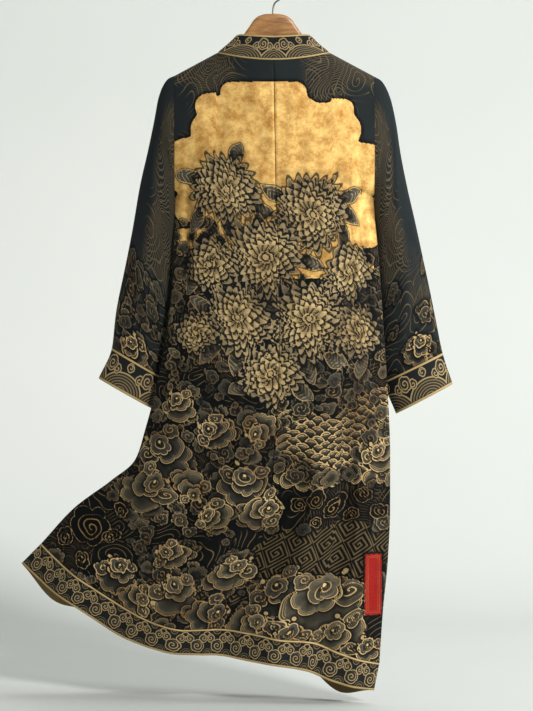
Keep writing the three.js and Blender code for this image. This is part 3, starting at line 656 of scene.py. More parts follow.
    def leaf(self, x, y, long, angle):
        """A lens between two arcs, with veins that slant from its midrib."""
        found, dx, dy = self.near(x, y, long + MARGIN)
        a, b = turned(dx, dy, angle)
        b = abs(b)
        shift = 0.9 * long
        depth = math.hypot(long, shift) - np.hypot(a, b + shift)
        light = 0.75 + 0.5 * smoothstep(-1, 1, a / long)
        veins = 2 * np.pi * (a + 0.9 * b) / 9
        self.lay(found, depth, ASH * light[:, None], 0.7, 0, veins, 0.5)

    def flower(self, x, y, r, petals, rings, outer, inner):
        """Rings of petals from the rim inwards, each ring turned by half a petal."""
        for k in range(rings):
            share = 1 - k / rings
            reach = r * (0.22 + 0.65 * share)
            count = max(6, round(petals * (0.4 + 0.6 * share)))
            wide = 3.0 * reach / count
            dye = outer * share + inner * (1 - share)
            for i in range(count):
                a = 2 * math.pi * (i + 0.5 * (k % 2)) / count
                wobble = 1 + 0.08 * math.sin(5 * a + k) + 0.05 * math.sin(11 * a)
                spot = reach * 0.62 * wobble
                self.petal(x + spot * math.cos(a), y + spot * math.sin(a),
                           0.46 * reach * wobble + 3, wide, a, dye)
        self.plate(x, y, 0.15 * r + 2, inner, 6, 0.3)
        self.knob(x, y, 0.05 * r + 1.5, SAND)

    def bars(self, rows, dye):
        """A bank of mist: the union of round-ended bars, each given by middle, half length and
        half height. A logarithm of summed powers rounds the corners where bars meet."""
        rounding = 4
        total = np.zeros(self.s.size)
        for x, y, long, half in rows:
            along = np.maximum(abs(self.flat_s - x) - long, 0)
            depth = half - np.hypot(along, self.flat_t - y)
            total = total + np.exp(np.clip(depth, -90, 60) / rounding)
        depth = rounding * np.log(np.maximum(total, 1e-30))
        self.lay(np.arange(self.s.size), depth, dye, 0.35)

    def waves(self, r, first, last, mound):
        """Rows of overlapping wave discs below the line of a mound."""
        for j, y in enumerate(np.arange(first, last, r * 0.5)):
            for x in np.arange((j % 2) * r - SKIRT_REACH, SKIRT_REACH, 2 * r):
                if y > mound(x):
                    found, dx, dy = self.near(x, y, r + 3)
                    rho = np.hypot(dx, dy)
                    light = 0.85 - 0.5 * smoothstep(0, r, r - rho)
                    self.lay(found, r - rho, CLAY * light[:, None], 1.0, 1.0)

    def upright(self):
        """The plain upright oblong low at the right, square to X and Z."""
        middle_x, middle_z, half_x, half_z = UPRIGHT
        aside = half_x - abs(self.points[:, 0] - middle_x)
        depth = np.minimum(aside, half_z - abs(self.points[:, 2] - middle_z))
        self.lay(np.arange(self.s.size), depth, RED, 0.0, 0.25)

    def fields(self):
        """The attributes that the finish reads. The signed distance to the nearest outline, above
        zero inside its motif, is kept as a cosine and a sine, so that it passes from far inside to
        far outside without crossing zero."""
        signed = np.where(self.depth < self.cover, self.depth, -self.cover)
        turn = np.pi * np.clip(signed / EDGE_REACH, -1, 1)
        edge = np.stack([np.cos(turn), np.sin(turn), self.rim], -1)
        made = {"dye": ("FLOAT_COLOR", self.dye.reshape(*self.shape, 4))}
        for name, values in (("edge", edge), ("curl", self.curl), ("ground", self.ground)):
            made[name] = ("FLOAT_VECTOR", values.reshape(*self.shape, 3))
        return made


def printed_fields(printing, across, down, points):
    """The attributes of a print laid on a cloth, or none for a cloth without one."""
    if not printing:
        return {}
    cloth = Print(across, down, points)
    printing(cloth)
    return cloth.fields()


class Value:
    """A socket of a finish. Python's operators add Math nodes to it."""

    def __init__(self, finish, socket):
        self.finish, self.socket = finish, socket

    def __add__(self, other):
        return self.finish.math("ADD", self, other)

    def __sub__(self, other):
        return self.finish.math("SUBTRACT", self, other)

    def __rsub__(self, other):
        return self.finish.math("SUBTRACT", other, self)

    def __mul__(self, other):
        return self.finish.math("MULTIPLY", self, other)

    def __truediv__(self, other):
        return self.finish.math("DIVIDE", self, other)

    __radd__, __rmul__ = __add__, __mul__

    def fract(self):
        """What is left of a number above the whole one below it."""
        return self.finish.math("FRACT", self)

    def size(self):
        """A number without its sign."""
        return self.finish.math("ABSOLUTE", self)

    def most(self, other):
        """The larger of two numbers."""
        return self.finish.math("MAXIMUM", self, other)


class Finish:
    """A material, with one way to add any node to it."""

    def __init__(self, name):
        self.material = bpy.data.materials.new(name)
        self.material.use_nodes = True
        self.tree = self.material.node_tree
        self.tree.nodes.clear()

    def node(self, kind, settings=None, sockets=None, output=0):
        """Adds a node, makes its settings and then sets or links its sockets."""
        made = self.tree.nodes.new(kind)
        for key, value in (settings or {}).items():
            setattr(made, key, value)
        for key, value in (sockets or {}).items():
            if isinstance(value, Value):
                self.tree.links.new(value.socket, made.inputs[key])
            else:
                made.inputs[key].default_value = value
        return Value(self, made.outputs[output]) if len(made.outputs) else None

    def math(self, operation, *terms):
        """An operation on numbers."""
        return self.node("ShaderNodeMath", {"operation": operation}, dict(enumerate(terms)))

    def vector(self, operation, *terms):
        """An operation on places."""
        return self.node("ShaderNodeVectorMath", {"operation": operation}, dict(enumerate(terms)))

    def parts(self, vector):
        """The three numbers of a vector."""
        first = self.node("ShaderNodeSeparateXYZ", sockets={0: vector})
        outputs = first.socket.node.outputs
        return [Value(self, outputs[i]) for i in range(3)]

    def step(self, low, high, value):
        """A smooth step from 0 at low to 1 at high, which may lie below low."""
        sockets = {"Value": value, "From Min": low, "From Max": high}
        return self.node("ShaderNodeMapRange", {"interpolation_type": "SMOOTHSTEP"}, sockets)

    def line(self, distance, outer, inner):
        """A line where a distance is zero: 1 up to the inner size of it, and 0 past the outer."""
        return self.step(outer, inner, distance.size())

    def cell(self, value, repeat, shift=0.0):
        """Where a number lies in its repeat, from -0.5 to 0.5."""
        share = value / repeat
        return (share + shift if shift else share).fract() - 0.5

    def far(self, x, y):
        """The distance of a place from the origin."""
        return self.math("SQRT", x * x + y * y)

    def angle(self, x, y):
        """The angle of a direction, in turns."""
        return self.math("ARCTAN2", y, x) * (0.5 / math.pi)

    def blend(self, share, first, second, how="MIX"):
        """The first colour, and by its share the second one."""
        sockets = {0: share, 6: first, 7: second}
        settings = {"data_type": "RGBA", "blend_type": how}
        return self.node("ShaderNodeMix", settings, sockets, 2)

    def dim(self, colour, amount):
        """A colour times a number."""
        return self.blend(1.0, colour, amount, "MULTIPLY")

    def mottled(self, share, tones):
        """A finish's darker colour, and by its share the lighter one."""
        return self.blend(share, rgba(tint(tones[0])), rgba(tint(tones[1])))

    def noise(self, place, scale, detail=3.0, output=0, rough=0.55):
        """Soft noise, as a number or, from output 1, as a colour."""
        sockets = {"Vector": place, "Scale": scale, "Detail": detail, "Roughness": rough}
        return self.node("ShaderNodeTexNoise", {}, sockets, output)

    def attribute(self, name, output):
        """What the mesh keeps at each point under a name."""
        return self.node("ShaderNodeAttribute", {"attribute_name": name}, {}, output)

    def cloth_uv(self):
        """The place on the cloth, in metres."""
        return self.node("ShaderNodeUVMap", {"uv_map": "cloth"})

    def object_place(self):
        """The place on the object, in metres."""
        return self.node("ShaderNodeTexCoord", output=3)

    def finished(self, colour, roughness, height, fixed, metallic=0.0, depth=0.0004):
        """The shader with its bump. The fixed values are set on its own sockets."""
        bump = {"Height": height, "Strength": 1.0, "Distance": depth}
        sockets = {"Base Color": colour, "Roughness": roughness, "Metallic": metallic, **fixed,
                   "Normal": self.node("ShaderNodeBump", {}, bump)}
        surface = self.node("ShaderNodeBsdfPrincipled", {}, sockets)
        self.node("ShaderNodeOutputMaterial", {}, {"Surface": surface})
        return self.material


def rgba(dye):
    """A dye as an opaque colour."""
    return (*dye[:3], 1.0)


def line_clouds(f, uv, size, pitch, width, sway):
    """Thin spiral lines round scattered middles: the distance to the nearest middle, counted in
    pitches, less the angle round it. Noise bends the place first, by the sway."""
    bend = f.noise(uv, 0.8 / size, 1.0, output=1)
    place = f.vector("MULTIPLY", uv, (1 / size,) * 3)
    place = f.vector("MULTIPLY_ADD", bend, (sway, sway, 0.0), place)
    settings = {"voronoi_dimensions": "2D", "feature": "F1"}
    distance = f.node("ShaderNodeTexVoronoi", settings, {"Vector": place, "Scale": 1.0})
    middle = Value(f, distance.socket.node.outputs["Position"])
    x, y, _ = f.parts(f.vector("SUBTRACT", place, middle))
    turn = (distance * (size / pitch) - f.angle(x, y)).fract() - 0.5
    half = 0.5 * width / pitch
    return f.line(turn, half * 1.6, half * 0.6)


def fret(f, uv, size, width):
    """Square spirals side by side: in each cell the larger of the two distances from its middle,
    counted in pitches, less the angle."""
    slanted = f.node("ShaderNodeVectorRotate", {"rotation_type": "Z_AXIS"},
                     {"Vector": uv, "Angle": math.radians(38)})
    x, y, _ = f.parts(slanted)
    x, y = f.cell(x, size), f.cell(y, size)
    reach = x.size().most(y.size())
    turn = (reach * 6 - f.angle(x, y)).fract() - 0.5
    return f.line(turn, width * 1.5, width * 0.7)


def weave(f, uv):
    """The yarns: two fine noises, one drawn out along the cloth and one across it."""
    along = f.noise(f.vector("MULTIPLY", uv, (1600.0, 160.0, 1.0)), 1.0, 2.0)
    over = f.noise(f.vector("MULTIPLY", uv, (130.0, 1500.0, 1.0)), 1.0, 2.0)
    return along * 0.5 + over * 0.5


def bare_ground(f, uv, patch, open_share, blotch, grain):
    """The ground between the motifs: near black and darker down the robe, with thin line clouds
    that come and go with a slow noise and keep off the middle of the shoulders, and key fret in
    its patches. The open share says how much of its lines shows at a point."""
    across, down, _ = f.parts(uv)
    squares = f.step(0.3, 0.7, patch)
    wide = line_clouds(f, uv, 0.085, 0.0135, 0.0014, 1.3)
    tight = line_clouds(f, uv, 0.12, 0.0055, 0.0013, 1.1)
    where = f.noise(uv, 5.2, 1.0)
    high = f.step(0.42, 0.26, down)
    calm = f.step(0.045, 0.085, across.size())
    lines = wide * f.step(0.64, 0.52, where) * f.step(0.34, 0.42, where)
    fine = f.step(0.5, 0.57, where + high * 0.1) * (0.8 - 0.5 * f.step(0.75, 0.9, down))
    lines = lines.most(tight * fine) * (1 - squares)
    lines = lines * (1 - high * (1 - calm))
    lines = lines.most(fret(f, uv, 0.046, 0.17) * squares * 0.8) * open_share
    base = f.dim(f.mottled(blotch, GROUND_TONES), 1 - 0.8 * f.step(0.3, 0.9, down))
    thread = f.blend(grain, rgba(BRONZE * 0.6), rgba(SAND * 0.75))
    return f.blend(lines * 0.65, base, thread)


def printed_cloth(name, seamed=False):
    """The robe's printed cloth: its motifs come from the mesh's own attributes, and the thin line
    clouds, the fret, the shading of the print and the yarns are worked out on the cloth UV. With a
    seam, a dark line runs down where the UV is zero across."""
    f = Finish(name)
    uv = f.cloth_uv()
    yarn = weave(f, uv)
    blotch = f.noise(uv, 9.0, 4.0)
    grain = f.noise(uv, 330.0, 2.0)
    near_cos, near_sin, rim_share = f.parts(f.attribute("edge", "Vector"))
    depth = f.angle(near_cos, near_sin) * (2 * EDGE_REACH)
    cosine, sine, strength = f.parts(f.attribute("curl", "Vector"))
    bare, patch, nested = f.parts(f.attribute("ground", "Vector"))
    dye = f.attribute("dye", "Color")
    gilt = f.attribute("dye", "Alpha")
    plain = f.step(0.3, 0.7, bare)
    open_share = plain * (1 - f.step(-3.4, -2.2, depth) * f.step(3.0, 0.5, depth))
    base = bare_ground(f, uv, patch, open_share, blotch, grain)

    # The motifs' own colours: dyes with a grain, and leaf gold with worn places
    fill = f.dim(dye, (0.5 + 1.0 * grain) * (0.6 + 0.8 * blotch))
    worn = f.noise(uv, 30.0, 7.0, rough=0.8)
    gold = f.mottled(f.step(0.3, 0.7, worn), GOLD_TONES)
    gold = f.dim(gold, (0.8 + 0.4 * grain) * (0.78 + 0.44 * blotch))
    fill = f.blend(gilt, fill, gold)
    colour = f.blend(plain, fill, base)

    # The curls, the rims and two nested lines inside them, by the depth in millimetres
    curl = f.line(f.angle(cosine, sine), 0.15, 0.07)
    second = f.line(depth - 4.6, 0.8, 0.3)
    third = f.line(depth - 7.8, 0.8, 0.3)
    rim = f.step(-0.2, 0.4, depth) * f.step(2.3, 1.4, depth)
    bright = (curl * strength.most(0.0)).most(rim * rim_share)
    bright = bright.most(second.most(third * 0.7) * nested) * (1 - plain)
    dark = curl * (strength * -1).most(0.0)
    dark = dark.most(f.step(2.2, 3.0, depth) * f.step(4.0, 3.2, depth) * 0.4 * rim_share)
    outline = f.mottled(f.step(0.35, 0.68, blotch), OUTLINE_TONES)
    outline = f.dim(outline, 0.7 + 0.6 * grain)
    colour = f.blend(dark, colour, rgba(INK))
    colour = f.blend(bright * 0.85, colour, outline)

    # The shadow that each motif throws on what lies below it, and its dark contour
    inside = f.step(0.3, -0.3, depth)
    shadow = f.step(-EDGE_REACH, -0.8, depth) * inside
    contour = f.step(-2.2, -1.2, depth) * inside
    colour = f.dim(colour, 1 - 0.72 * shadow * (1 - 0.65 * gilt))
    colour = f.blend(contour * 0.85, colour, rgba(INK))
    if seamed:
        stitched = f.line(f.parts(uv)[0], 0.0011, 0.0004)
        colour = f.blend(stitched * 0.75, colour, rgba(INK))
    colour = f.dim(colour, 0.82 + 0.36 * yarn)

    foil = gilt * (1 - plain)
    height = yarn + 0.12 * bright
    fixed = {"Specular IOR Level": 0.1, "Sheen Weight": 0.02, "Sheen Roughness": 0.5}
    return f.finished(colour, 0.8 - 0.28 * foil, height, fixed, foil * 0.2)


def scroll(f, x, y, radius, pitch, scallops, hand, half=0.0008):
    """One cloud scroll: a scalloped outline round a spiral line. Gives its lines and its inside."""
    rho, angle = f.far(x, y), f.angle(x, y)
    bumps = f.math("SQRT", f.math("COSINE", angle * (math.pi * scallops)).size())
    outside = rho - (0.84 * radius) - bumps * (0.16 * radius)
    edge = f.line(outside, half * 1.3, half * 0.7)
    wide = half / pitch
    coil = f.line(f.cell(rho, pitch, angle * hand), wide * 1.3, wide * 0.7)
    coil = coil * f.step(0.74 * radius, 0.68 * radius, rho)
    return edge.most(coil), f.step(half, 0.0, outside)


def nested(f, distance, pitch, outer=0.26):
    """Lines at even distances, one pitch apart."""
    return f.line(f.cell(distance, pitch), outer, 0.14)


def band_finish(f, uv, lines, inside):
    """What the border bands share: dark ground, golden lines on it, a woven gold line along both
    edges, and the yarns. Inside the motifs the ground is a little lighter."""
    across = f.parts(uv)[1]
    yarn = weave(f, uv)
    grain = f.noise(uv, 420.0, 2.0)
    blotch = f.noise(uv, 14.0, 3.0)
    field = f.step(0.0042, 0.0048, across) * f.step(0.0488, 0.0482, across)
    lines = lines * field
    edges = f.line(across - 0.0019, 0.0019, 0.0015)
    edges = edges.most(f.line(across - 0.0511, 0.0021, 0.0016))
    base = f.mottled(blotch, BAND_TONES)
    base = f.blend(inside * field * 0.22, base, rgba(CLAY * 0.6))
    colour = f.blend(lines * 0.92, base, f.mottled(grain, THREAD_TONES))
    colour = f.blend(edges * 0.95, colour, f.mottled(grain, BRAID_TONES))
    colour = f.dim(colour, 0.82 + 0.36 * yarn)
    height = yarn * 0.6 + lines * 0.4 + edges * 1.6
    fixed = {"Specular IOR Level": 0.12, "Sheen Weight": 0.02, "Sheen Roughness": 0.5}
    return f.finished(colour, 0.72 - 0.14 * edges, height, fixed, edges * 0.2)


def scroll_band():
    """The hem's pattern: a lower row of single scrolls, an upper row of twin scrolls under a crown,
    half a repeat on, and small nested arcs between them. U runs along the band and V across."""
    f = Finish("hem band cloth")
    uv = f.cloth_uv()
    s, t, _ = f.parts(uv)
    repeat = 0.043
    x = f.cell(s, repeat) * repeat
    aside = f.cell(s, repeat, 0.5) * repeat
    lower, under = scroll(f, x, t - 0.0335, 0.0128, 0.0056, 5, 1)
    twin, over = scroll(f, aside.size() - 0.0078, t - 0.0185, 0.0082, 0.0046, 4, -1)
    crown = f.line(f.far(aside, t - 0.0125) - 0.0072, 0.0013, 0.0007)
    low = f.far(aside, t - 0.0505)
    foot = nested(f, low, 0.0046) * f.step(0.0118, 0.0113, low)
    side = f.far(x, t - 0.0035)
    drop = nested(f, side, 0.0046) * f.step(0.0095, 0.009, side)
    lines = (foot.most(drop) * 0.4).most(crown) * (1 - over)
    lines = (lines.most(twin) * (1 - under)).most(lower)
    return band_finish(f, uv, lines, over.most(under))


def wave_band():
    """The cuffs' and neckband's pattern, mirrored about U = 0: humps of nested wave lines stand on
    the outer edge, and scrolls with small side scrolls float between them, with rings and drops."""
    f = Finish("cuff and neck band cloth")
    uv = f.cloth_uv()
    s, t, _ = f.parts(uv)
    repeat = 0.084
    mirrored = s.size() - 0.026
    x = f.cell(mirrored, repeat) * repeat
    aside = f.cell(mirrored, repeat, 0.5) * repeat
    hump = f.far(x * 0.74, t - 0.0575)
    arcs = nested(f, hump, 0.0044, 0.27) * 0.5
    arcs = arcs.most(f.line(hump - 0.0335, 0.0016, 0.0009))
    mound = f.step(0.0349, 0.0343, hump)
    drops = f.step(0.0021, 0.0015, f.far(aside.size() - 0.0085, t - 0.0385))
    crest = f.line(f.far(aside.size() - 0.0062, t - 0.0465) - 0.0052, 0.0015, 0.0008)
    lines = (arcs * mound).most((crest.most(drops)) * (1 - mound))
    inside = mound
    for across, down, radius, pitch, scallops, hand, half in (
            (x, 0.0125, 0.0072, 0.0062, 4, 1, 0.001),
            (aside.size() - 0.0165, 0.0235, 0.0078, 0.0056, 4, -1, 0.001),
            (aside, 0.0185, 0.0128, 0.0062, 5, 1, 0.0011)):
        made, covered = scroll(f, across, t - down, radius, pitch, scallops, hand, half)
        lines = (lines * (1 - covered)).most(made)
        inside = inside.most(covered)
    return band_finish(f, uv, lines, inside)


def lining_cloth(name, dye):
    """The wrong side: plain warm cloth with its yarns."""
    f = Finish(name)
    uv = f.cloth_uv()
    yarn = weave(f, uv)
    blotch = f.noise(uv, 12.0, 3.0)
    colour = f.blend(blotch, rgba(dye * 0.7), rgba(dye * 1.25))
    colour = f.dim(colour, 0.8 + 0.4 * yarn)
    return f.finished(colour, 0.8, yarn, {"Specular IOR Level": 0.3, "Sheen Weight": 0.1})


def hanger_wood():
    """Varnished wood: rings drawn out along the bar, warmer in blotches."""
    f = Finish("varnished hanger wood")
    place = f.object_place()
    bend = f.noise(place, 14.0, 2.0)
    rings = f.noise(f.vector("MULTIPLY", place, (9.0, 55.0, 55.0)), 3.2, 5.0, rough=0.62)
    fine = f.noise(f.vector("MULTIPLY", place, (60.0, 900.0, 900.0)), 1.0, 2.0)
    colour = f.mottled(f.step(0.28, 0.74, rings * 0.75 + bend * 0.25), WOOD_TONES)
    colour = f.dim(colour, 0.86 + 0.28 * fine)
    fixed = {"Coat Weight": 0.35, "Coat Roughness": 0.25, "Specular IOR Level": 0.5}
    return f.finished(colour, 0.38 + 0.14 * rings, fine, fixed, depth=0.00015)


def hook_wire():
    """Satin steel wire, drawn along its length."""
    f = Finish("hook wire")
    place = f.object_place()
    drawn = f.noise(f.vector("MULTIPLY", place, (700.0, 700.0, 90.0)), 1.0, 2.0)
    colour = f.mottled(f.noise(place, 60.0, 3.0), WIRE_TONES)
    return f.finished(colour, 0.28 + 0.2 * drawn, drawn, {}, 1.0, 0.0001)


# The large printed motifs, in millimetres across from the back's seam (left below zero)
# and down from the neck. Mist bars: middle, half length and half height.
MIST = [
    (-22, 226, 66, 22), (-40, 262, 100, 26), (104, 268, 44, 20), (4, 308, 150, 30),
    (-62, 356, 134, 32), (136, 362, 68, 28), (36, 410, 172, 32), (-156, 408, 48, 26),
    (-44, 464, 158, 30), (146, 468, 66, 24), (46, 518, 160, 30), (-152, 528, 52, 20),
    (-6, 574, 128, 26), (150, 584, 40, 18),
]
FLOWERS = [
    (-104, 424, 72, 24, 5), (72, 470, 80, 26, 5), (-30, 556, 84, 26, 5), (146, 596, 56, 20, 4),
    (-140, 580, 54, 20, 4), (-84, 682, 74, 24, 5), (58, 684, 82, 26, 5), (160, 716, 54, 18, 4),
    (-168, 716, 44, 16, 4), (-14, 790, 64, 22, 4),
]
LEAVES = [
    (-180, 404, 36, 3.3), (-76, 358, 34, 4.9), (-168, 486, 36, 2.2), (-32, 460, 34, 0.4),
    (-36, 494, 34, 1.5), (-6, 426, 34, 3.6), (152, 446, 36, 5.9), (152, 486, 34, 0.5),
    (132, 530, 32, 1.8), (-106, 604, 34, 0.9), (-94, 502, 32, 1.2), (66, 568, 34, 0.3),
    (92, 622, 34, 5.4), (-184, 622, 30, 2.2), (-164, 660, 30, 3.6), (-14, 654, 34, 1.4),
    (4, 706, 32, 2.4), (142, 656, 32, 4.9), (-142, 758, 34, 2.4), (-84, 764, 34, 1.6),
    (54, 778, 36, 1.1), (118, 768, 34, 0.6), (-72, 820, 34, 2.8), (48, 828, 34, 0.6),
    (176, 784, 32, 1.9),
]
# Large clouds: middle, radius, angle and way round
CLOUDS = [
    (-120, 912, 42, 3.9, 1), (-30, 894, 38, 2.2, -1), (-200, 872, 38, 4.4, 1),
    (-232, 972, 62, 4.2, 1), (-266, 1056, 64, 5.3, -1), (-168, 1022, 40, 1.2, 1),
    (-62, 1014, 54, 4.9, 1), (-10, 1066, 44, 5.8, -1), (-100, 1084, 40, 3.4, -1),
    (-250, 1270, 46, 4.6, 1), (-186, 1300, 40, 5.6, -1), (-112, 1270, 52, 4.4, 1),
    (-34, 1300, 48, 5.6, -1), (-150, 1186, 40, 3.6, 1), (-14, 1206, 46, 5.0, -1),
    (104, 1238, 62, 4.0, 1), (188, 1262, 80, 4.7, -1), (62, 1310, 46, 5.8, 1),
    (136, 1334, 50, 5.3, 1), (256, 1330, 56, 3.8, -1), (232, 966, 40, 4.4, 1),
    (310, 1370, 44, 4.9, 1),
]
# Clouds drawn in thin lines alone, on bare ground
LINE_CLOUDS = [
    (-350, 1186, 56, 0.4, 1), (-286, 1182, 24, 2.1, -1), (-402, 1236, 26, 1.0, 1),
    (-330, 1256, 24, 4.0, -1), (-300, 1120, 20, 2.0, 1), (64, 1052, 20, 0.2, 1),
    (104, 1036, 24, 1.6, -1), (150, 1060, 26, 3.1, 1), (202, 1040, 22, 4.4, -1),
    (112, 1082, 16, 2.2, 1), (190, 1084, 18, 0.7, -1), (246, 1072, 22, 0.3, 1),
]
# Patches of key fret, and ground without filled motifs: middle and reach across and down
FRET_PATCHES = [(160, 1160, 160, 66), (-30, 1232, 90, 40), (250, 1220, 60, 60)]
OPEN_GROUND = [(-352, 1194, 108, 92), (158, 1058, 128, 46), (110, 920, 92, 58), FRET_PATCHES[0]]
# Clouds low on the sleeves: middle and radius
SLEEVE_CLOUDS = [(-70, 452, 34), (-128, 520, 38), (-36, 560, 32), (60, 480, 34), (130, 560, 36)]


def in_oval(x, y, oval):
    """The square of a place's distance from an oval's middle, in reaches: below 1 inside it."""
    middle_x, middle_y, across, down = oval
    return ((x - middle_x) / across) ** 2 + ((y - middle_y) / down) ** 2


def small_clouds(cloth, low, high, left, right, count, seed, sizes=(8, 20), tone=1.0):
    """Small plates scattered at random, the same each time, where the ground isn't kept open."""
    rng = np.random.default_rng(seed)
    tones = [SMOKE, SMOKE * 1.4, ASH * 0.8, ASH, CLAY * 0.75, CLAY * 0.95]
    for _ in range(count):
        x, y = rng.uniform(left, right), rng.uniform(low, high)
        r, angle, dye = rng.uniform(*sizes), rng.uniform(0, 6.28), tones[rng.integers(6)] * tone
        rim, hand = rng.uniform(0.05, 0.55), int(rng.choice([-1, 0, 1]))
        if all(in_oval(x, y, oval) >= 1 for oval in OPEN_GROUND):
            cloth.plate(x, y, r, dye, int(rng.integers(4, 7)), angle, rim, 0.25, hand)


def wave_mound(x):
    """The line above which no waves are drawn: a slow swell, and far down left of the seam."""
    return 850 + 34 * math.sin(x / 60) + 900 * (x < 8)


def print_body(cloth):
    """The back's whole design, from the bottom layer up."""
    for oval in FRET_PATCHES:
        share = smoothstep(1.05, 0.95, in_oval(cloth.s, cloth.t, oval))
        cloth.ground[:, 1] = np.maximum(cloth.ground[:, 1], share)
    cloth.bars(MIST, GOLD)
    small_clouds(cloth, 470, 880, -250, -120, 90, 3)
    small_clouds(cloth, 560, 880, 110, 240, 60, 4)
    small_clouds(cloth, 600, 900, -240, 240, 170, 5)
    cloth.waves(17, 800, 1010, wave_mound)
    small_clouds(cloth, 850, 1420, -440, 330, 640, 11, (8, 24), 0.9)
    for x, y, r, angle, hand in LINE_CLOUDS:
        cloth.plate(x, y, r, INK * 0.6, 5, angle, 0.6, 0.0, hand)
    for x, y, long, angle in LEAVES:
        cloth.leaf(x, y, long, angle)
    for x, y, r, petals, rings in FLOWERS:
        cloth.flower(x, y, r, petals, rings, CLAY * 0.8, SAND * 1.15)
    for i, (x, y, r, angle, hand) in enumerate(CLOUDS):
        cloth.cloud(x, y, r, [ASH * 1.1, CLAY * 0.9, CLAY][i % 3], angle, hand)
    cloth.upright()


def print_sleeve(cloth):
    """Clouds low on the sleeve, closer on the left one, and thin line clouds above them."""
    count, tone = (300, 1.1) if cloth.points[:, 0].mean() < 0 else (110, 0.85)
    small_clouds(cloth, 300, 640, -260, 260, count, 21, (10, 22), tone)
    for x, y, r in SLEEVE_CLOUDS:
        cloth.cloud(x, y, r, ASH * 1.15, 0.03 * x + 1, 1 if x < 0 else -1)


def print_front(cloth):
    """Clouds on the skirt, under plain shoulders with thin line clouds."""
    small_clouds(cloth, 800, 1390, -440, 400, 420, 31, (9, 24), 0.95)
    # Large clouds in a wavering row
    for i in range(14):
        x, y = -330 + 46 * i + 20 * math.sin(9 * i), 1130 + 110 * math.sin(2.4 * i)
        cloth.cloud(x, y, 38 + 12 * math.sin(5 * i), [ASH * 1.1, CLAY * 0.9][i % 2], 1.3 * i, 1)


PRINTED = printed_cloth("printed robe cloth")
BACKED = printed_cloth("printed back cloth", True)
BANDED = scroll_band()
WAVED = wave_band()
WRONG_SIDE = lining_cloth("plain wrong side", tint("3b3427"))
WARM_SIDE = lining_cloth("hem wrong side", tint("75603a"))


def body_rows(count):
    """Shares down a panel from 0 to 1, closer together where the shoulder turns over."""
    return np.concatenate([np.linspace(0, 0.03, 15)[:-1], np.linspace(0.03, 1, count)])


def border_rows(count):
    """Shares down a hem border, from its seam to its edge."""
    return np.linspace(1, 1 + HEM_SHARE, count)


def panel_shell(name, point, facing, u, v, materials, printing):
    """A body panel on a grid of places: its points, nudged off the seams, its normals, and cloth
    lengths across from the centre seam and down from the shoulder line."""
    points, normals = point(u, v), cloth_normal(point, facing, u, v)
    edge = (u <= 0) | (u >= 1)
    in_neck = (v <= 0) & (u > NECK_SHARE) & (u < 1 - NECK_SHARE)
    nudge_y = np.where((edge | (v <= 0)) & ~in_neck, facing * GAP, 0)
    across = walked(points, 1)
    if u.mean() < 0.5:
        across = across - across[:, -1:]
    down = -points[:1, :, 2] + walked(points, 0)
    points = points + stacked(0, nudge_y, np.where(v == 1, GAP, 0))
    fields = printed_fields(printing, across, down, points)
    return shell(name, points, normals, across, down, materials, fields)


def back_half(side):
    """One half of the back, from its side seam to the centre seam."""
    u = np.concatenate([np.linspace(0, NECK_SHARE, 49)[:-1], np.linspace(NECK_SHARE, 0.5, 68)])
    if side == "right":
        u = 1 - u[::-1]
    u, v = np.meshgrid(u, body_rows(380))
    made = panel_shell(f"back_{side}_cloth", back_point, -1, u, v, [BACKED, WRONG_SIDE],
                       print_body)
    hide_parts(f"back_{side}")
    return made


def front_grid(side, v, count):
    """Places on one front, from its side seam to its edge."""
    share = np.linspace(0, 1, count)[None, :]
    w = np.minimum(v, 1)[:, None]
    if side == "left":
        u = share * FRONT_EDGE["left"](w)
    else:
        u = 1 - (1 - share) * (1 - FRONT_EDGE["right"](w))
    return u, np.broadcast_to(v[:, None], u.shape)


def front(side):
    """One front, from its side seam to the neckband's seam."""
    u, v = front_grid(side, body_rows(250), 58)
    made = panel_shell(f"front_{side}_cloth", front_point, 1, u, v, [PRINTED, WRONG_SIDE],
                       print_front)
    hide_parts(f"front_{side}")
    return made


def hem_band(name, node, point, facing, u, v):
    """A hem border: its band UV runs along the seam, and square to it down to the edge."""
    points, normals = point(u, v), cloth_normal(point, facing, u, v)
    way = unit(np.gradient(points[:1], axis=1))
    fall = points - points[:1]
    lead = (fall * way).sum(-1)
    along = walked(points, 1)[:1] + lead
    across = np.linalg.norm(fall - lead[..., None] * way, axis=-1)
    nudge = np.where((u <= 0) | (u >= 1), facing * GAP, 0)
    points = points + stacked(0, nudge, np.where(v <= 1, -GAP, 0))
    across = across * (BAND_WIDTH / np.maximum(across[-1:], 1))
    made = shell(name, points, normals, along, across, [BANDED, WARM_SIDE],
                 thickness=BORDER)
    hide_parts(node)
    return made


def hems():
    """The back's hem border, and one on each front."""
    u, v = np.meshgrid(np.linspace(0, 1, 260), border_rows(18))
    made = [hem_band("hem_back_band", "hem_back", back_point, -1, u, v)]
    for side in ("left", "right"):
        u, v = front_grid(side, border_rows(18), 90)
        name = f"hem_front_{side}"
        made.append(hem_band(name + "_band", name, front_point, 1, u, v))
    return made


def collar_places(side):
    """Places along one half of the collar's seam: from the neck's middle to the shoulder on the
    back, then down the front's edge. Gives points, normals and the path that its lean follows."""
    share = np.linspace(0.5, NECK_SHARE, 60)[:-1]
    u = share if side == "left" else 1 - share
    zero = np.zeros_like(u)
    neck, neck_normal = back_point(u, zero), cloth_normal(back_point, -1, u, zero)
    v = np.concatenate([body_rows(330), border_rows(16)[1:]])
    edge = FRONT_EDGE[side](np.minimum(v, 1))
    down, down_normal = front_point(edge, v), cloth_normal(front_point, 1, edge, v)
    path = np.concatenate([(0.5 - share) / (0.5 - NECK_SHARE), 1 + v])
    return np.concatenate([neck, down]), np.concatenate([neck_normal, down_normal]), path


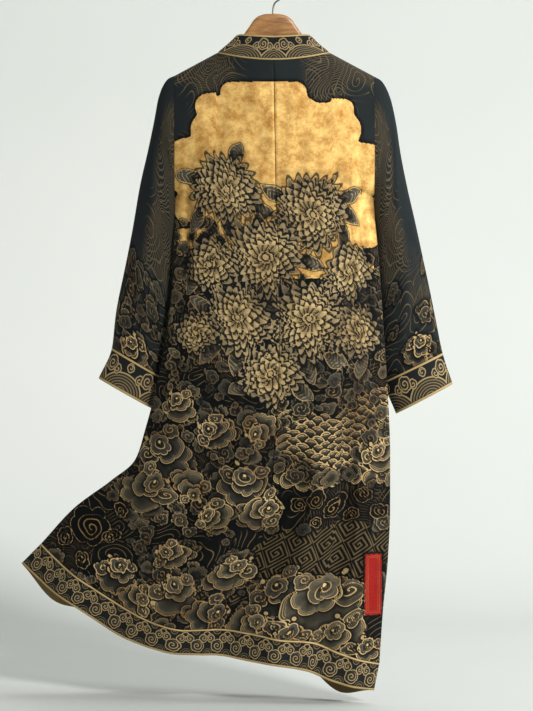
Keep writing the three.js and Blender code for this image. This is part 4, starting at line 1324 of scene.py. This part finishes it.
def collar():
    """The neckband: from its seam a band runs its width the way that it leans, and its free edge
    rolls out a little."""
    halves = []
    for side, sign in (("left", -1), ("right", 1)):
        points, normals, path = collar_places(side)
        path = np.minimum(path, 2)
        away = stacked(-sign * LEAN["inX"](path), LEAN["inY"](path), LEAN[side + "Z"](path))
        halves.append((points, normals, unit(away)))
    left = [part[::-1] for part in halves[0]]
    seam, normals, away = [np.concatenate([a, b[1:]]) for a, b in zip(left, halves[1])]
    flat = unit(normals - away * (normals * away).sum(-1, keepdims=True))
    reach = np.linspace(0, 1, 22)
    roll = 1.6 * reach ** 3 - 0.9 * np.exp(-((reach - 0.06) / 0.05) ** 2)
    distance = 2 * GAP + reach * BAND_WIDTH
    points = seam[:, None] + away[:, None] * distance[None, :, None]
    points = points + flat[:, None] * roll[None, :, None]
    normals = np.broadcast_to(flat[:, None], points.shape)
    along = walked(seam[None], 1)[0]
    along = np.broadcast_to((along - along[len(along) // 2])[:, None], points.shape[:2])
    down = np.broadcast_to((BAND_WIDTH * (1 - reach))[None], points.shape[:2])
    made = shell("collar_band", points, normals, along, down, [WAVED, WAVED],
                 thickness=NECKBAND)
    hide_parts("collar")
    return made


def tube_points(rows, number, angle, creases):
    """A sleeve: ovals between the table's outer and inner ends. The creases run along it and turn
    round it as they go."""
    outer = stacked(rows["outerX"](number), 0, rows["outerZ"](number))
    inner = stacked(rows["innerX"](number), 0, rows["innerZ"](number))
    half = (outer - inner) / 2
    length = np.linalg.norm(half, axis=-1, keepdims=True)
    along, depth = half / length, rows["half"](number)[..., None]
    cos, sin = np.cos(angle)[..., None], np.sin(angle)[..., None]
    forward = np.array([0, 1, 0])
    normal = unit(along * cos / length + forward * sin / depth)
    middle = (outer + inner) / 2 + forward * rows["middle"](number)[..., None]
    points = middle + along * length * cos + forward * depth * sin
    lift = 0
    for turn, twist, start, end, width, height in creases:
        share = np.clip((number - start) / (end - start), 0, 1)
        off = (angle / math.pi - turn - twist * (share - 0.5)) / width
        lift = lift + height * np.exp(-off * off) * np.sin(math.pi * share) ** 2
    lift = lift + 0.35 * np.sin(5 * angle + 2.3 * number) * np.sin(math.pi * number / CUFF_EDGE)
    return points + normal * np.asarray(lift)[..., None], normal


def sleeve_shell(side, first, last, count, name, node, materials, printing=None,
                 creases=(), thickness=CLOTH):
    """A stretch of sleeve. Its seam lies under the arm, and its cloth is measured from the outer
    fold round, and along from the armhole."""
    rows = LEFT_SLEEVE if side == "left" else RIGHT_SLEEVE
    around = np.linspace(-math.pi, math.pi, 121)
    number, angle = np.meshgrid(np.linspace(first, last, count), around, indexing="ij")
    points, normals = tube_points(rows, number, angle, creases)
    if creases:
        step = unit(np.cross(np.gradient(points, axis=1), np.gradient(points, axis=0)))
        normals = step * np.sign((step * normals).sum(-1, keepdims=True))
        normals[:, -1] = normals[:, 0]
    across = walked(points, 1)
    across = across - across[:, len(around) // 2][:, None]
    down = np.broadcast_to(walked(points, 0).mean(1, keepdims=True), across.shape)
    # The end at the cuff's seam is drawn back by the gap, and the armhole stands off the body
    row, way = (0, 1) if first == CUFF_SEAM else (-1, -1)
    points[row] = points[row] + way * GAP * unit((points[-1] - points[0]).mean(0))
    if first == 0:
        points[0, :, 0] += math.copysign(2 * GAP, points[0, 0, 0])
    fields = printed_fields(printing, across, down, points)
    if not printing:
        down = down * (BAND_WIDTH / down.max())
    made = shell(name, points, normals, across, down, materials, fields,
                 thickness=thickness, wrap=True)
    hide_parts(node)
    return made


def sleeves():
    """Both sleeves, each with its cuff's border."""
    made = []
    for side in ("left", "right"):
        made.append(sleeve_shell(side, 0, CUFF_SEAM, 190, f"sleeve_{side}_cloth",
                                 f"sleeve_{side}", [PRINTED, WRONG_SIDE],
                                 print_sleeve, SLEEVE_CREASES))
        made.append(sleeve_shell(side, CUFF_SEAM, CUFF_EDGE, 26, f"cuff_{side}_band",
                                 f"cuff_{side}", [WAVED, WARM_SIDE],
                                 thickness=BORDER))
    return made


def bar_points():
    """The hanger's bar: rounded oblong sections from tip to tip, which shrink towards the tips as a
    square root."""
    x = np.concatenate([-np.linspace(BAR_TIP, 0, 120), np.linspace(0, BAR_TIP, 120)[1:]])
    angle = np.linspace(0, 2 * math.pi, 49)
    reach = np.abs(x)
    top, bottom, half = BAR["top"](reach), BAR["bottom"](reach), BAR["half"](reach)
    tip = np.sqrt(np.clip((BAR_TIP - reach) / BAR_ROUNDING, 0.02, 1))

    def squared(n):
        """A circle's part, pushed out so that the section has rounded corners."""
        return np.sign(n) * np.sqrt(np.abs(n))

    y = (half * tip)[:, None] * squared(np.cos(angle))[None]
    z = ((top + bottom) / 2)[:, None] + ((top - bottom) / 2 * tip)[:, None] * squared(np.sin(angle))
    return stacked(x[:, None], y, z)


def wire_points():
    """The wire's rings: a curve that rises out of the bar and turns round over the rail."""
    start, end = WIRE_TURN
    middle = WIRE_RADIUS - WIRE_BEND
    foot = np.array([0, 0, WIRE_FOOT])
    join = np.array([math.cos(start), 0, math.sin(start)]) * WIRE_BEND
    join[2] += middle
    way = np.array([-math.sin(start), 0, math.cos(start)])
    t = np.linspace(0, 1, 50)[:, None]
    a, b, c, d = foot, foot + [0, 0, 16], join - 9 * way, join
    rise = a * (1 - t) ** 3 + 3 * b * t * (1 - t) ** 2 + 3 * c * t * t * (1 - t) + d * t ** 3
    angle = np.linspace(start, end, 120)[1:]
    bow = stacked(WIRE_BEND * np.cos(angle), 0, middle + WIRE_BEND * np.sin(angle))
    path = np.concatenate([rise, bow])
    tangent = unit(np.gradient(path, axis=0))
    side = np.cross(tangent, [0, 1, 0])
    turn = np.linspace(0, 2 * math.pi, 25)[None, :, None]
    return path[:, None] + WIRE_RADIUS * (side[:, None] * np.cos(turn)
                                          + np.array([0, 1, 0]) * np.sin(turn))


def round_solid(name, points, material, node):
    """A closed solid from rings of points: quads between the rings, and a fan over each end."""
    rings, around = points.shape[0], points.shape[1] - 1
    co = points[:, :-1].reshape(-1, 3)
    index = np.arange(rings * around).reshape(rings, around)
    index = np.concatenate([index, index[:, :1]], 1)
    quads = grid_faces(index)
    ends = np.array([points[0, :-1].mean(0), points[-1, :-1].mean(0)])
    middle = np.full(around, len(co))
    first = np.stack([middle, index[0, :-1], index[0, 1:]], -1)
    last = np.stack([middle + 1, index[-1, 1:], index[-1, :-1]], -1)
    mesh = bpy.data.meshes.new(name)
    mesh.from_pydata((np.concatenate([co, ends]) * METRES).tolist(), [],
                     quads.tolist() + first.tolist() + last.tolist())
    mesh.materials.append(material)
    mesh.polygons.foreach_set("use_smooth", np.ones(len(mesh.polygons), bool))
    mesh.update()
    corner = co[quads[:, :3]]
    if (corner[:, 0] * np.cross(corner[:, 1], corner[:, 2])).sum() < 0:
        mesh.flip_normals()
    obj = linked(bpy.data.objects.new(name, mesh))
    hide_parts(node)
    return obj


pieces = [back_half("left"), back_half("right"), front("left"), front("right"), *sleeves(), *hems(),
          collar()]
round_solid("hanger_bar_wood", bar_points(), hanger_wood(), "hanger_bar")
round_solid("hanger_hook_wire", wire_points(), hook_wire(), "hanger_hook")


# The studio, in metres: the floor's height and front edge, where its sweep starts and how round it
# is, the backdrop's top, and how far the floor reaches beyond it and to both sides
FLOOR_HEIGHT = -1.45
FLOOR_FRONT = -3.4
SWEEP_START = 1.5
SWEEP_RADIUS = 1.6
BACKDROP_TOP = 4.5
FLOOR_BEYOND = 14.0
FLOOR_HALF_WIDTH = 6.0
# The camera's place, its sensor in millimetres, and how much height it sees at what distance
EYE = (-0.013, -5.0, -0.751)
SENSOR_HEIGHT = 36
SEEN_HEIGHT = 1.422
SEEN_DISTANCE = 4.96
# Lights: name, kind, place, power, size (a sun's is its angle) and tone. They point at the robe's
# middle. The air round them is a faint even light.
LAMPS = [
    ("key", "SUN", (1.6, -3.2, 1.1), 2.35, math.radians(11), (1.0, 0.985, 0.95)),
    ("side", "AREA", (3.2, -0.9, 0.2), 82, 1.4, (1.0, 1.0, 0.99)),
    ("top", "AREA", (1.0, 0.7, 2.4), 44, 1.8, (1.0, 1.0, 1.0)),
]
ROBE_MIDDLE = (0, 0, -0.8)
AIR_TONE = (0.95, 0.97, 0.95, 1)
AIR_STRENGTH = 0.24


def in_scene(name, data):
    """A new object in the scene."""
    made = bpy.data.objects.new(name, data)
    bpy.context.scene.collection.objects.link(made)
    return made


def lamp(name, kind, place, power, size, tone):
    """A light at a place, turned to the robe's middle."""
    light = bpy.data.lights.new(name, kind)
    light.energy, light.color = power, tone
    setattr(light, "angle" if kind == "SUN" else "size", size)
    made = in_scene(name, light)
    made.location = place
    made.rotation_euler = (Vector(ROBE_MIDDLE) - Vector(place)).to_track_quat("-Z", "Y").to_euler()


def studio():
    """A pale floor that sweeps up into a backdrop, soft lights and the camera. The backdrop shows
    on its front alone, so that it hides nothing from behind."""
    turn = np.linspace(-math.pi / 2, 0, 30)
    curve = np.stack([SWEEP_START + SWEEP_RADIUS * np.cos(turn),
                      FLOOR_HEIGHT + SWEEP_RADIUS * (1 + np.sin(turn))], -1)
    wall = (SWEEP_START + SWEEP_RADIUS, BACKDROP_TOP)
    sweep = np.concatenate([[(FLOOR_FRONT, FLOOR_HEIGHT)], curve, [wall]])
    beyond = np.array([(SWEEP_START, FLOOR_HEIGHT - 0.002), (FLOOR_BEYOND, FLOOR_HEIGHT - 0.002)])
    x = np.array([-FLOOR_HALF_WIDTH, FLOOR_HALF_WIDTH])
    f = Finish("pale floor")
    shade = f.noise(f.object_place(), 1.3, 2.0)
    behind = f.node("ShaderNodeNewGeometry", output=6)
    fixed = {"Specular IOR Level": 0.1, "Alpha": 1 - behind}
    pale = f.finished(f.mottled(shade, FLOOR_TONES), 0.9, shade, fixed)
    for name, path in (("studio_floor", sweep), ("studio_floor_beyond", beyond)):
        co = stacked(x[None, :], path[:, 0][:, None], path[:, 1][:, None]).reshape(-1, 3)
        mesh = bpy.data.meshes.new(name)
        faces = [(2 * i, 2 * i + 1, 2 * i + 3, 2 * i + 2) for i in range(len(path) - 1)]
        mesh.from_pydata(co.tolist(), [], faces)
        mesh.polygons.foreach_set("use_smooth", np.ones(len(mesh.polygons), bool))
        mesh.materials.append(pale)
        floor = in_scene(name, mesh)

    for row in LAMPS:
        lamp(*row)
    world = bpy.data.worlds.new("studio air")
    world.use_nodes = True
    air = world.node_tree.nodes["Background"].inputs
    air["Color"].default_value = AIR_TONE
    air["Strength"].default_value = AIR_STRENGTH
    bpy.context.scene.world = world
    bpy.context.scene.view_settings.view_transform = "Standard"

    camera = bpy.data.cameras.new("camera")
    camera.sensor_fit, camera.sensor_height = "VERTICAL", SENSOR_HEIGHT
    camera.lens = SENSOR_HEIGHT * SEEN_DISTANCE / SEEN_HEIGHT
    eye = in_scene("camera", camera)
    eye.location = EYE
    eye.rotation_euler = (math.pi / 2, 0, 0)
    bpy.context.scene.camera = eye


studio()
